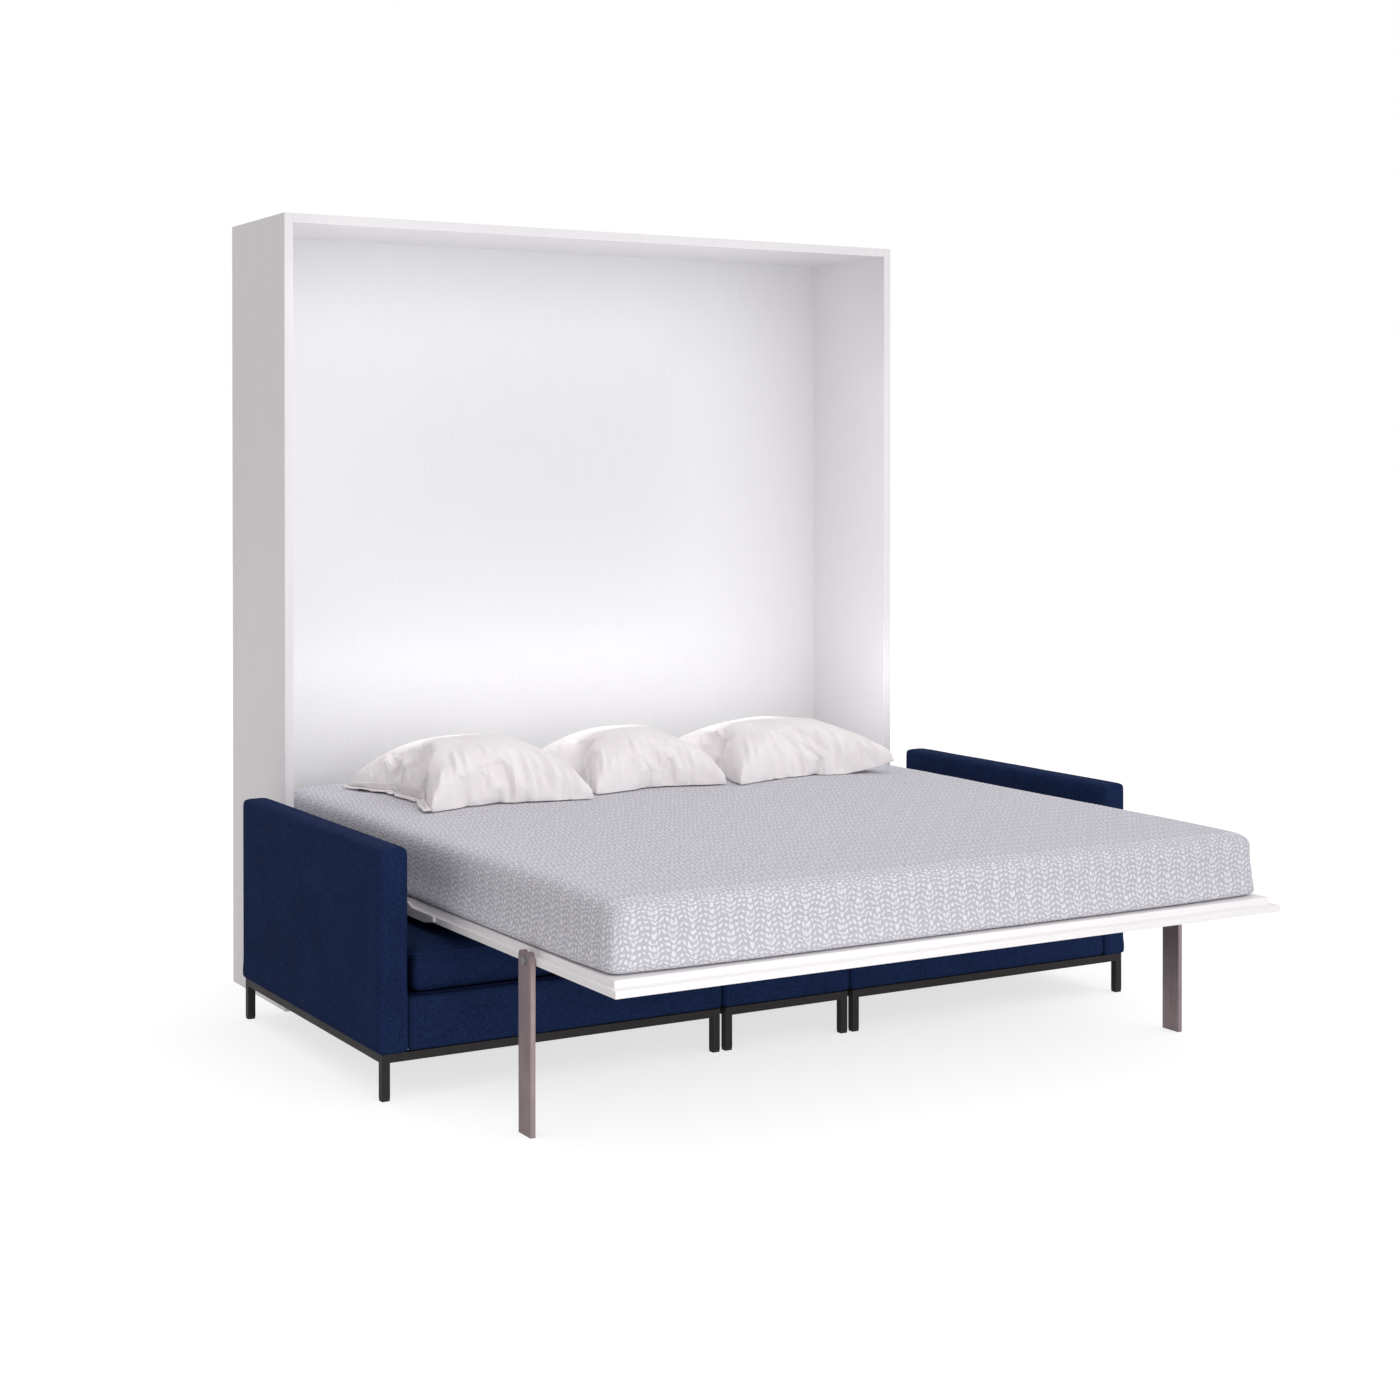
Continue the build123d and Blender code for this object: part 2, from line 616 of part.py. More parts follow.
def sofa_base(x0, x1):
    low, high = section_upholstery_span(x0, x1)
    x_mid, x_size = spread(low, high)
    wall_mid, wall_size = spread(BASE_BACK, SOFA_FRONT - 2.0)
    z_mid, z_size = spread(SOFA_BOTTOM, SEAT_BOTTOM)
    with BuildPart() as base:
        with Locations((x_mid, y_at(wall_mid), z_mid)):
            Box(x_size, wall_size, z_size)
        fillet(base.edges().filter_by(Axis.X).group_by(Axis.Y)[0], 6.0)
        for side, _ in SIDES:
            if side * SOFA_ARM_INNER in (low, high):
                inner = side * SOFA_ARM_INNER
                for wall, z in ARM_BOLTS:
                    rod_x((inner - side * ARM_BOLT_DEPTH, inner), wall, z, ARM_BOLT_RADIUS, Mode.SUBTRACT)
    return base


def seat_cushion(x0, x1):
    low, high = section_upholstery_span(x0, x1)
    low = low + SEAT_SIDE_GAP if x0 == -SOFA_HALF_WIDTH else low + 1.0
    high = high - SEAT_SIDE_GAP if x1 == SOFA_HALF_WIDTH else high - 1.0
    return soft_block((low, high), (SEAT_BACK, SEAT_FRONT), (SEAT_BOTTOM, SEAT_TOP), SEAT_ROUND)


def sofa_arm(side):
    x_mid, x_size = spread(side * SOFA_ARM_INNER, side * SOFA_HALF_WIDTH)
    wall_mid, wall_size = spread(SOFA_BACK, SOFA_FRONT)
    z_mid, z_size = spread(SOFA_BOTTOM, SOFA_ARM_TOP)
    with BuildPart() as arm:
        with Locations((x_mid, y_at(wall_mid), z_mid)):
            Box(x_size, wall_size, z_size)
        top_edges = arm.edges().group_by(Axis.Z)[-1]
        upright_edges = arm.edges().filter_by(Axis.Z)
        fillet(top_edges + upright_edges, SOFA_ROUND)
        for wall, z in ARM_BOLTS:
            inner = side * SOFA_ARM_INNER
            rod_x((inner, inner + side * ARM_BOLT_DEPTH), wall, z, ARM_BOLT_RADIUS, Mode.SUBTRACT)
    return arm


def arm_bolts():
    """Dowel bolts that join each arm to the base beside it."""
    with BuildPart() as bolts:
        for side, _ in SIDES:
            inner = side * SOFA_ARM_INNER
            for wall, z in ARM_BOLTS:
                span = (inner - side * ARM_BOLT_DEPTH, inner + side * ARM_BOLT_DEPTH)
                rod_x(span, wall, z, ARM_BOLT_RADIUS)
    return bolts


def frame_outline(x0, x1):
    """The tube frame's outer rectangle under a section: X span and wall span."""
    return (x0 + FRAME_INSET, x1 - FRAME_INSET), (SOFA_BACK + FRAME_INSET, SOFA_FRONT - FRAME_INSET)


def ring_corners(x_span, wall_span, inset):
    """The four corners of the ring's outline, moved inwards by inset, in order round it."""
    x_low, x_high = x_span[0] + inset, x_span[1] - inset
    wall_low, wall_high = wall_span[0] + inset, wall_span[1] - inset
    return [
        Vector(x_low, y_at(wall_low)),
        Vector(x_high, y_at(wall_low)),
        Vector(x_high, y_at(wall_high)),
        Vector(x_low, y_at(wall_high)),
    ]


WELD_GAP = 0.2


def frame_rails(x0, x1):
    """Four square tubes, mitred at the corners, that a section stands on."""
    x_span, wall_span = frame_outline(x0, x1)
    layers = (
        (0.0, TUBE, RAIL_BOTTOM, TUBE, Mode.ADD),
        (TUBE_WALL, TUBE - TUBE_WALL, RAIL_BOTTOM + TUBE_WALL, TUBE - 2 * TUBE_WALL, Mode.SUBTRACT),
    )
    with BuildPart() as rails:
        for near, far, z, height, mode in layers:
            outer = ring_corners(x_span, wall_span, near)
            inner = ring_corners(x_span, wall_span, far)
            for i in range(4):
                j = (i + 1) % 4
                trim = (outer[j] - outer[i]).normalized() * WELD_GAP
                if mode == Mode.SUBTRACT:
                    trim = trim * -1
                corners = [outer[i] + trim, outer[j] - trim, inner[j] - trim, inner[i] + trim]
                with BuildSketch(Plane.XY.offset(z)):
                    with BuildLine():
                        Polyline(*[(c.X, c.Y) for c in corners], close=True)
                    make_face()
                extrude(amount=height, mode=mode)
    return rails


def frame_leg_places(x0, x1):
    x_span, wall_span = frame_outline(x0, x1)
    for x in (x_span[0] + TUBE / 2, x_span[1] - TUBE / 2):
        for wall in (wall_span[0] + TUBE / 2, wall_span[1] - TUBE / 2):
            yield x, y_at(wall)


def frame_legs(x0, x1):
    """Four square tubes under the corners of a section's rails."""
    with BuildPart() as legs:
        with BuildSketch(Plane.XY.offset(GLIDE)):
            for place in frame_leg_places(x0, x1):
                with Locations(place):
                    Rectangle(TUBE, TUBE)
                    Rectangle(TUBE - 2 * TUBE_WALL, TUBE - 2 * TUBE_WALL, mode=Mode.SUBTRACT)
        extrude(amount=RAIL_BOTTOM - GLIDE)
    return legs


def leg_glides():
    """Plastic feet under the sofa's tube legs, each with a plug that stands in its tube."""
    plug = TUBE - 2 * TUBE_WALL - 0.2
    with BuildPart() as glides:
        for _, x0, x1 in SECTIONS:
            for place in frame_leg_places(x0, x1):
                with BuildSketch():
                    with Locations(place):
                        RectangleRounded(TUBE, TUBE, 2.0)
                extrude(amount=GLIDE)
                with BuildSketch(Plane.XY.offset(GLIDE)):
                    with Locations(place):
                        Rectangle(plug, plug)
                extrude(amount=12.0)
    return glides


CLIP_PLATE = 3.0
CLIP_WALLS = (700.0, 1100.0)
CLIP_REACH = FRAME_INSET + TUBE
LINK_WIDTH = 20.0


def section_clips():
    """Flat plates under the rails that hold neighbouring sections together."""
    with BuildPart() as clips:
        for side, _ in SIDES:
            for wall in CLIP_WALLS:
                with Locations((side * SECTION_JOINT, y_at(wall), RAIL_BOTTOM - CLIP_PLATE / 2)):
                    Box(2 * CLIP_REACH, 40.0, CLIP_PLATE)
    return clips


def link_brackets():
    """Steel angles from the cabinet's front edges to the sofa's rear rails."""
    rear_rail_front = SOFA_BACK + FRAME_INSET + TUBE
    foot = LINK_SCREW_Z - 20.0
    with BuildPart() as brackets:
        for side, _ in SIDES:
            with BuildSketch(Plane.YZ.offset(side * LINK_X)):
                with BuildLine():
                    Polyline(
                        (y_at(CABINET_DEPTH), foot),
                        (y_at(CABINET_DEPTH), RAIL_BOTTOM),
                        (y_at(rear_rail_front), RAIL_BOTTOM),
                        (y_at(rear_rail_front), RAIL_BOTTOM - CLIP_PLATE),
                        (y_at(CABINET_DEPTH + CLIP_PLATE), RAIL_BOTTOM - CLIP_PLATE),
                        (y_at(CABINET_DEPTH + CLIP_PLATE), foot),
                        close=True,
                    )
                make_face()
            extrude(amount=LINK_WIDTH / 2, both=True)
            plate_span = (CABINET_DEPTH, CABINET_DEPTH + CLIP_PLATE)
            rod_y(side * LINK_X, plate_span, LINK_SCREW_Z, LINK_SCREW_RADIUS, Mode.SUBTRACT)
    return brackets


def link_screws():
    with BuildPart() as screws:
        for side, _ in SIDES:
            x = side * LINK_X
            face = CABINET_DEPTH + CLIP_PLATE
            rod_y(x, (CABINET_DEPTH - LINK_SCREW_DEPTH, face), LINK_SCREW_Z, LINK_SCREW_RADIUS)
            rod_y(x, (face, face + 2.0), LINK_SCREW_Z, 4.0)
    return screws


# ---- build and write every piece ---------------------------------------------------------------------
os.makedirs("parts", exist_ok=True)

save(cabinet_cross_board((CABINET_HEIGHT - BOARD, CABINET_HEIGHT)), "cabinet_top")
save(cabinet_cross_board((0.0, BOTTOM_BOARD)), "cabinet_bottom")
back_zs = (BOTTOM_BOARD, CABINET_HEIGHT - BOARD)
save(block((-SIDE_INNER, SIDE_INNER), (BACK_GAP, BACK_FACE), back_zs), "cabinet_back_panel")
save(corner_dowels(), "corner_dowels")
save(bracket_screws(), "bracket_screws")
save(side_screws(PIVOT_BOLTS, PIVOT_BOLT_RADIUS, PIVOT_BOLT_DEPTH, 6.0, 3.0), "pivot_plate_bolts")
save(side_screws(STRUT_SCREWS, STRUT_SCREW_RADIUS, STRUT_SCREW_DEPTH, 4.0, 2.0), "strut_bracket_screws")

for side, side_name in SIDES:
    save(cabinet_side(side), f"cabinet_side_{side_name}")
    save(wall_bracket(side), f"wall_bracket_{side_name}")
    save(pivot_plate(side), f"pivot_plate_{side_name}")
    save(pivot_pin(side), f"pivot_pin_{side_name}")
    save(strut_bracket(side), f"strut_bracket_{side_name}")
    save(strut_cylinder(side), f"strut_cylinder_{side_name}")
    save(strut_rod(side), f"strut_rod_{side_name}")
    save(lift_arm(side), f"lift_arm_{side_name}")
    save(pivot_bush(side), f"pivot_bush_{side_name}")
    save(bed_leg(side), f"bed_leg_{side_name}")
    save(sofa_arm(side), f"sofa_arm_{side_name}")
    deck_edge = side * DECK_WIDTH / 2
    deck_rail_xs = (deck_edge - side * DECK_RAIL, deck_edge)
    deck_zs = (PANEL_TOP, DECK_TOP)
    save(block(deck_rail_xs, (PANEL_HEAD, DECK_FOOT), deck_zs), f"deck_rail_{side_name}")

deck_inner = DECK_WIDTH / 2 - DECK_RAIL
deck_cross_xs = (-deck_inner, deck_inner)
save(block(deck_cross_xs, (PANEL_HEAD, PANEL_HEAD + DECK_RAIL), deck_zs), "deck_head_board")
save(block(deck_cross_xs, (DECK_FOOT - DECK_RAIL, DECK_FOOT), deck_zs), "deck_foot_board")
save(deck_slats(), "deck_slats")
save(door_panel(), "door_panel")
save(lift_arm_screws(), "lift_arm_screws")
save(mattress(), "mattress")
save(leg_bolts(), "leg_bolts")
save(leg_washers(), "leg_washers")

for pillow_name, x_span, wall_span in PILLOWS:
    save(pillow(x_span, wall_span), f"pillow_{pillow_name}")

for section_name, x0, x1 in SECTIONS:
    save(sofa_base(x0, x1), f"sofa_base_{section_name}")
    save(seat_cushion(x0, x1), f"seat_cushion_{section_name}")
    save(frame_rails(x0, x1), f"sofa_rails_{section_name}")
    save(frame_legs(x0, x1), f"sofa_legs_{section_name}")

save(leg_glides(), "sofa_glides")
save(section_clips(), "section_clips")
save(arm_bolts(), "arm_bolts")
save(link_brackets(), "link_brackets")
save(link_screws(), "link_screws")
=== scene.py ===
"""Looks for a fold-up wall bed with a sofa in front of its cabinet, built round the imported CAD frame."""
import json
import math
import random

import bpy
import numpy as np
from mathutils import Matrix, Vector, noise


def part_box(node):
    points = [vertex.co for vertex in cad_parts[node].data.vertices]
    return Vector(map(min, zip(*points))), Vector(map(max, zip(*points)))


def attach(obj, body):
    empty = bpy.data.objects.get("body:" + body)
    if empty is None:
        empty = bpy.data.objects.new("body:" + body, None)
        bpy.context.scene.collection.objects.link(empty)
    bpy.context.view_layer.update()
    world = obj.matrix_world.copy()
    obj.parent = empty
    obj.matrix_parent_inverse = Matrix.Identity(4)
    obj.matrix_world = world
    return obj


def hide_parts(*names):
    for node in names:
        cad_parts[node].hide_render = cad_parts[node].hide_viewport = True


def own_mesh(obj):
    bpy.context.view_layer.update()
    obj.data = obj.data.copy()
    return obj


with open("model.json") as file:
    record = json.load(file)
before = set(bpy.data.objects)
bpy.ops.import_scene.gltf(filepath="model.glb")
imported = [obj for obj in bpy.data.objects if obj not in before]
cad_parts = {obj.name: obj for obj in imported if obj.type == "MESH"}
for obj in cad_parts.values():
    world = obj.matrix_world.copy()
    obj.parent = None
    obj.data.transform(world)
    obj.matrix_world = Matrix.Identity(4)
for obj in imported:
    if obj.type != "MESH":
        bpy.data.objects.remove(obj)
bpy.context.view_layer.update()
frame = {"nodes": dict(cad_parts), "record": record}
NODES = frame["nodes"]
MM = 0.001
WALL_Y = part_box("cabinet_side_left")[1].y


def y_at(wall_mm):
    """Row Y of a point that is this many millimetres in front of the wall."""
    return WALL_Y - wall_mm * MM


# ---- camera, light and stage -------------------------------------------------------------------------
CAMERA_X = -3.110
CAMERA_WALL = 6243.5         # mm in front of the wall
CAMERA_Z = 1.446
CAMERA_AZIMUTH = 30.38       # degrees to the right of straight at the wall
CAMERA_PITCH = 0.47          # degrees down
CAMERA_LENS = 58.43
CAMERA_SENSOR = 36.0
CAMERA_SHIFT = -0.1486
CAMERA_REACH = 100.0
WHITE = (1.0, 1.0, 1.0, 1.0)


def make_camera():
    """A camera at the photograph's viewing angle."""
    data = bpy.data.cameras.new("camera")
    data.sensor_width = CAMERA_SENSOR
    data.lens = CAMERA_LENS
    data.shift_y = CAMERA_SHIFT
    data.clip_end = CAMERA_REACH
    camera = bpy.data.objects.new("camera", data)
    camera.location = (CAMERA_X, y_at(CAMERA_WALL), CAMERA_Z)
    camera.rotation_euler = (
        math.radians(90.0 - CAMERA_PITCH),
        0.0,
        math.radians(-CAMERA_AZIMUTH),
    )
    bpy.context.scene.collection.objects.link(camera)
    bpy.context.scene.camera = camera


SKY_LEVEL = 0.50             # the world's strength straight ahead and level
SKY_SIDE = 0.17              # more of it on the right, less on the left
SKY_UP = 0.55                # more of it overhead
SKY_LEFT = (1.0, 0.945, 0.960, 1.0)
SKY_RIGHT = (0.975, 0.985, 1.0, 1.0)
SUN_STRENGTH = 0.635
SUN_FROM = (1.2, -3.6, 0.9)
SUN_SPREAD = 60.0            # degrees
SUN_COLOUR = (1.0, 0.985, 0.975)
LOW_PLACE = (-0.9, -3.6, 0.6)
LOW_TARGET = (-0.7, -0.4, 0.40)
LOW_SIZE = (2.4, 1.0)
LOW_POWER = 20.0
FILL_WALL = 520.0            # mm in front of the wall
FILL_POWER = 0.86
# name, place in X and Z, width and height, and power
FILL_STRIPS = (
    ("fill_right", (0.80, 1.20), (0.16, 1.2), 0.6),
    ("fill_top", (-0.10, 1.92), (1.6, 0.16), 1.0),
    ("fill_low", (0.06, 0.84), (1.75, 0.14), 1.9),
    ("fill_left", (-0.80, 1.60), (0.16, 0.9), 0.35),
)
FLOOR_REACH = 30.0


def make_world():
    """A white backdrop, with soft light: most from above, and less and warmer light from the left."""
    world = bpy.data.worlds.new("studio")
    world.use_nodes = True
    tree = world.node_tree
    light = tree.nodes["Background"]

    def add(kind, **values):
        node = tree.nodes.new("ShaderNode" + kind)
        for key, value in values.items():
            setattr(node, key, value)
        return node

    parts = add("SeparateXYZ")
    tree.links.new(add("TexCoord").outputs["Generated"], parts.inputs[0])
    side = add("Math", operation="MULTIPLY_ADD")
    tree.links.new(parts.outputs["X"], side.inputs[0])
    side.inputs[1].default_value = SKY_SIDE
    side.inputs[2].default_value = SKY_LEVEL
    up = add("Math", operation="MAXIMUM")
    tree.links.new(parts.outputs["Z"], up.inputs[0])
    up.inputs[1].default_value = 0.0
    level = add("Math", operation="MULTIPLY_ADD")
    tree.links.new(up.outputs[0], level.inputs[0])
    level.inputs[1].default_value = SKY_UP
    tree.links.new(side.outputs[0], level.inputs[2])
    tree.links.new(level.outputs[0], light.inputs["Strength"])
    share = add("MapRange")
    share.inputs["From Min"].default_value = -1.0
    tree.links.new(parts.outputs["X"], share.inputs["Value"])
    tint = add("Mix", data_type="RGBA")
    tree.links.new(share.outputs["Result"], tint.inputs["Factor"])
    tint.inputs[6].default_value = SKY_LEFT
    tint.inputs[7].default_value = SKY_RIGHT
    tree.links.new(tint.outputs[2], light.inputs["Color"])
    backdrop = add("Background")
    backdrop.inputs["Color"].default_value = WHITE
    choice = add("MixShader")
    tree.links.new(add("LightPath").outputs["Is Camera Ray"], choice.inputs["Fac"])
    tree.links.new(light.outputs[0], choice.inputs[1])
    tree.links.new(backdrop.outputs[0], choice.inputs[2])
    tree.links.new(choice.outputs[0], tree.nodes["World Output"].inputs["Surface"])
    bpy.context.scene.world = world


def make_sun():
    """A wide, soft sun from the front right."""
    data = bpy.data.lights.new("sun", "SUN")
    data.energy = SUN_STRENGTH
    data.angle = math.radians(SUN_SPREAD)
    data.color = SUN_COLOUR
    sun = bpy.data.objects.new("sun", data)
    sun.rotation_mode = "QUATERNION"
    sun.rotation_quaternion = (-Vector(SUN_FROM)).to_track_quat("-Z", "Y")
    bpy.context.scene.collection.objects.link(sun)


def make_area_light(name, place, size, power):
    """A rectangular light that the camera doesn't see."""
    data = bpy.data.lights.new(name, "AREA")
    data.shape = "RECTANGLE"
    data.size, data.size_y = size
    data.energy = power
    light = bpy.data.objects.new(name, data)
    light.location = place
    light.visible_camera = False
    bpy.context.scene.collection.objects.link(light)
    return light


def make_stage():
    """A pale floor and backdrop, a wide sun, a low light in front, and strips that fill the cabinet."""
    make_world()
    bpy.context.scene.view_settings.view_transform = "Standard"
    make_sun()
    low_front = make_area_light("low_front", LOW_PLACE, LOW_SIZE, LOW_POWER)
    aim = Vector(LOW_TARGET) - Vector(LOW_PLACE)
    low_front.rotation_mode = "QUATERNION"
    low_front.rotation_quaternion = aim.to_track_quat("-Z", "Y")
    for name, (x, z), size, power in FILL_STRIPS:
        strip = make_area_light(name, (x, y_at(FILL_WALL), z), size, power * FILL_POWER)
        strip.rotation_euler = (math.radians(90.0), 0.0, 0.0)
    mesh = bpy.data.meshes.new("floor")
    turns = ((-1, -1), (1, -1), (1, 1), (-1, 1))
    corners = [(x * FLOOR_REACH, y * FLOOR_REACH, 0.0) for x, y in turns]
    mesh.from_pydata(corners, [], [(0, 1, 2, 3)])
    floor = bpy.data.objects.new("floor", mesh)
    bpy.context.scene.collection.objects.link(floor)
    floor.data.materials.append(floor_material())


# ---- node helpers ------------------------------------------------------------------------------------
class Shader:
    """A Principled material with short ways to add and join nodes."""

    def __init__(self, name, **sockets):
        self.material = bpy.data.materials.new(name)
        self.material.use_nodes = True
        self.tree = self.material.node_tree
        self.bsdf = self.tree.nodes["Principled BSDF"]
        for key, value in sockets.items():
            self.bsdf.inputs[key.replace("_", " ")].default_value = value

    def add(self, kind, **values):
        node = self.tree.nodes.new("ShaderNode" + kind)
        for key, value in values.items():
            setattr(node, key, value)
        return node

    def join(self, source, target):
        self.tree.links.new(source, target)

    def feed(self, socket, value):
        """Links an output to a socket, or sets a plain value on it."""
        if isinstance(value, bpy.types.NodeSocket):
            self.join(value, socket)
        else:
            socket.default_value = value

    def maths(self, operation, a, b=0.0, c=0.0):
        node = self.add("Math", operation=operation)
        for socket, value in zip(node.inputs, (a, b, c)):
            self.feed(socket, value)
        return node.outputs[0]

    def coordinates(self, kind="Object"):
        return self.add("TexCoord").outputs[kind]

    def mapped(
        self,
        source,
        scale=(1.0, 1.0, 1.0),
        turn=(0.0, 0.0, 0.0),
        place=(0.0, 0.0, 0.0),
        form="POINT",
    ):
        node = self.add("Mapping", vector_type=form)
        self.join(source, node.inputs["Vector"])
        node.inputs["Location"].default_value = place
        node.inputs["Rotation"].default_value = turn
        node.inputs["Scale"].default_value = scale
        return node.outputs["Vector"]

    def noise(self, source, scale, detail=2.0, roughness=0.5):
        node = self.add("TexNoise")
        self.join(source, node.inputs["Vector"])
        node.inputs["Scale"].default_value = scale
        node.inputs["Detail"].default_value = detail
        node.inputs["Roughness"].default_value = roughness
        return node.outputs["Fac"]

    def wave(self, source, scale, direction, distortion=0.0, detail=0.0):
        node = self.add("TexWave", wave_type="BANDS", bands_direction=direction)
        self.join(source, node.inputs["Vector"])
        node.inputs["Scale"].default_value = scale
        node.inputs["Distortion"].default_value = distortion
        node.inputs["Detail"].default_value = detail
        return node.outputs["Fac"]

    def span(self, value, low, high, to_low=0.0, to_high=1.0):
        node = self.add("MapRange")
        self.feed(node.inputs["Value"], value)
        node.inputs["From Min"].default_value = low
        node.inputs["From Max"].default_value = high
        node.inputs["To Min"].default_value = to_low
        node.inputs["To Max"].default_value = to_high
        return node.outputs["Result"]

    def blend(self, share, first, second):
        node = self.add("Mix", data_type="RGBA")
        self.feed(node.inputs["Factor"], share)
        self.feed(node.inputs[6], first)
        self.feed(node.inputs[7], second)
        return node.outputs[2]

    def colour(self, output):
        self.join(output, self.bsdf.inputs["Base Color"])

    def roughness(self, output):
        self.join(output, self.bsdf.inputs["Roughness"])

    def bump(self, heights):
        """Bumps one after another, each a height output with its depth in metres."""
        last = None
        for height, depth in heights:
            node = self.add("Bump")
            node.inputs["Strength"].default_value = 1.0
            node.inputs["Distance"].default_value = depth
            self.join(height, node.inputs["Height"])
            if last:
                self.join(last, node.inputs["Normal"])
            last = node.outputs["Normal"]
        self.join(last, self.bsdf.inputs["Normal"])


def rgb(red, green, blue):
    """A display colour, 0 to 255, as linear RGBA."""

    def linear(value):
        share = value / 255.0
        return share / 12.92 if share <= 0.04045 else ((share + 0.055) / 1.055) ** 2.4

    return (linear(red), linear(green), linear(blue), 1.0)


# ---- materials ---------------------------------------------------------------------------------------
BOARD_LIGHT = rgb(240, 238, 240)
BOARD_DARK = rgb(232, 230, 233)
# the back panel is the same white lacquer as the boards, painted a little darker: painted shade inside the
# cabinet
BACK_SHADED_LIGHT = rgb(232, 232, 233)
BACK_SHADED_DARK = rgb(227, 227, 228)
BED_LIGHT = rgb(251, 250, 250)
BED_DARK = rgb(240, 237, 238)
FLOOR_GLOW = 0.71            # the floor's own glow, as the camera sees it
FLOOR_BOUNCE = 0.28          # and as it lights the object
FLOOR_DIFFUSE = 0.42
FLOOR_VARIATION = 0.01


def floor_material():
    """A pale floor that glows a little, so that shadows on it stay soft and light."""
    s = Shader("pale_floor", Roughness=0.7)
    tone = s.noise(s.coordinates(), 0.8)
    low = (FLOOR_DIFFUSE,) * 3 + (1.0,)
    high = (FLOOR_DIFFUSE + FLOOR_VARIATION,) * 3 + (1.0,)
    s.colour(s.blend(tone, low, high))
    s.bsdf.inputs["Specular IOR Level"].default_value = 0.0
    s.bsdf.inputs["Emission Color"].default_value = WHITE
    seen = s.add("LightPath").outputs["Is Camera Ray"]
    s.join(s.span(seen, 0.0, 1.0, FLOOR_BOUNCE, FLOOR_GLOW), s.bsdf.inputs["Emission Strength"])
    return s.material


def lacquer_material(name, light, dark, grain_axis):
    """White satin lacquer over faint open grain, with the slight ripple of a sprayed coat."""
    s = Shader(name, Coat_Weight=0.12, Coat_Roughness=0.18)
    place = s.coordinates()
    stretch = [38.0, 38.0, 38.0]
    stretch[grain_axis] = 1.1
    grain = s.noise(s.mapped(place, tuple(stretch)), 6.0, 5.0, 0.6)
    clouds = s.noise(place, 1.6, 2.0)
    tone = s.maths("MULTIPLY_ADD", s.span(grain, 0.35, 0.7), 0.6, s.maths("MULTIPLY", clouds, 0.4))
    s.colour(s.blend(tone, light, dark))
    s.roughness(s.span(grain, 0.3, 0.75, 0.27, 0.4))
    ripple = s.noise(place, 260.0, 2.0)
    s.bump([(grain, 0.00006), (ripple, 0.00003)])
    return s.material


UPHOLSTERY_YARNS = 210.0     # wave scale of the sofa's weave
UPHOLSTERY_UNEVEN = 7.0      # how far its yarns wander


def upholstery_material():
    """Navy woven cloth: a plain weave of uneven yarns, heathered, with a soft nap."""
    s = Shader("navy_weave", Sheen_Weight=0.015, Sheen_Roughness=0.4)
    s.bsdf.inputs["Sheen Tint"].default_value = rgb(60, 85, 165)
    s.bsdf.inputs["Specular IOR Level"].default_value = 0.03
    place = s.coordinates()
    wobble = s.noise(place, 55.0, 3.0)
    warp = s.wave(place, UPHOLSTERY_YARNS, "X", UPHOLSTERY_UNEVEN, 1.0)
    weft = s.wave(place, UPHOLSTERY_YARNS, "Z", UPHOLSTERY_UNEVEN, 1.0)
    pile = s.wave(place, UPHOLSTERY_YARNS, "Y", UPHOLSTERY_UNEVEN, 1.0)
    weave = s.maths("MULTIPLY", s.maths("ADD", warp, s.maths("ADD", weft, pile)), 0.4)
    slub = s.noise(place, 190.0, 3.0, 0.65)
    patches = s.noise(place, 7.0, 4.0, 0.6)
    yarn = s.blend(s.span(weave, 0.2, 1.0), rgb(18, 30, 60), rgb(33, 49, 86))
    heather = s.blend(s.span(slub, 0.38, 0.72, 0.0, 0.6), yarn, rgb(40, 58, 98))
    worn = s.blend(s.span(patches, 0.4, 0.75, 0.0, 0.28), heather, rgb(16, 26, 54))
    s.colour(worn)
    s.roughness(s.span(wobble, 0.3, 0.7, 0.78, 0.92))
    s.bump([(weave, 0.0005), (wobble, 0.0006)])
    return s.material


def seam_material():
    """Navy thread and turned cloth at a seam, a little darker than the cloth beside it."""
    s = Shader("navy_seam")
    s.bsdf.inputs["Specular IOR Level"].default_value = 0.05
    place = s.coordinates()
    twist = s.wave(place, 160.0, "DIAGONAL", 1.0, 1.0)
    s.colour(s.blend(twist, rgb(10, 17, 40), rgb(19, 29, 60)))
    s.roughness(s.span(twist, 0.0, 1.0, 0.75, 0.9))
    s.bump([(twist, 0.0005)])
    return s.material


LEAF_COLUMN = 0.0236         # from one stem to the next
LEAF_PITCH = 0.0135          # from one pair of leaves to the next
# half length, half width, turn from level in degrees, and gap from the stem: upright and spreading leaves
UPRIGHT_LEAF = (0.0078, 0.0032, 60.0, 0.0012)
SPREAD_LEAF = (0.0066, 0.0031, 40.0, 0.0020)
LEAF_EDGE = (1.15, 0.62)     # leaf distances at which the white begins, and is full
STEM_SWAY = 0.0040
STEM_WAVE = 0.083
STRAY = 0.0080               # how far the printed pattern wanders
STRAY_SCALE = 42.0


def leaf_distance(s, place, leaf):
    """How far a place is from the nearest leaf on one side of a stem: under 1 is inside the leaf."""
    half_length, half_width, degrees, gap = leaf
    turn = math.radians(degrees)
    reach = gap + half_length
    nearest = None
    for step in (-1, 0, 1):
        root = (reach * math.cos(turn), reach * math.sin(turn) + step * LEAF_PITCH, 0.0)
        local = s.mapped(place, (half_length, half_width, 1.0), (0.0, 0.0, turn), root, "TEXTURE")
        parts = s.add("SeparateXYZ")
        s.join(local, parts.inputs[0])
        along = s.maths("MULTIPLY", parts.outputs["X"], parts.outputs["X"])
        distance = s.maths("ADD", along, s.maths("ABSOLUTE", parts.outputs["Y"]))
        nearest = distance if nearest is None else s.maths("MINIMUM", nearest, distance)
    return nearest


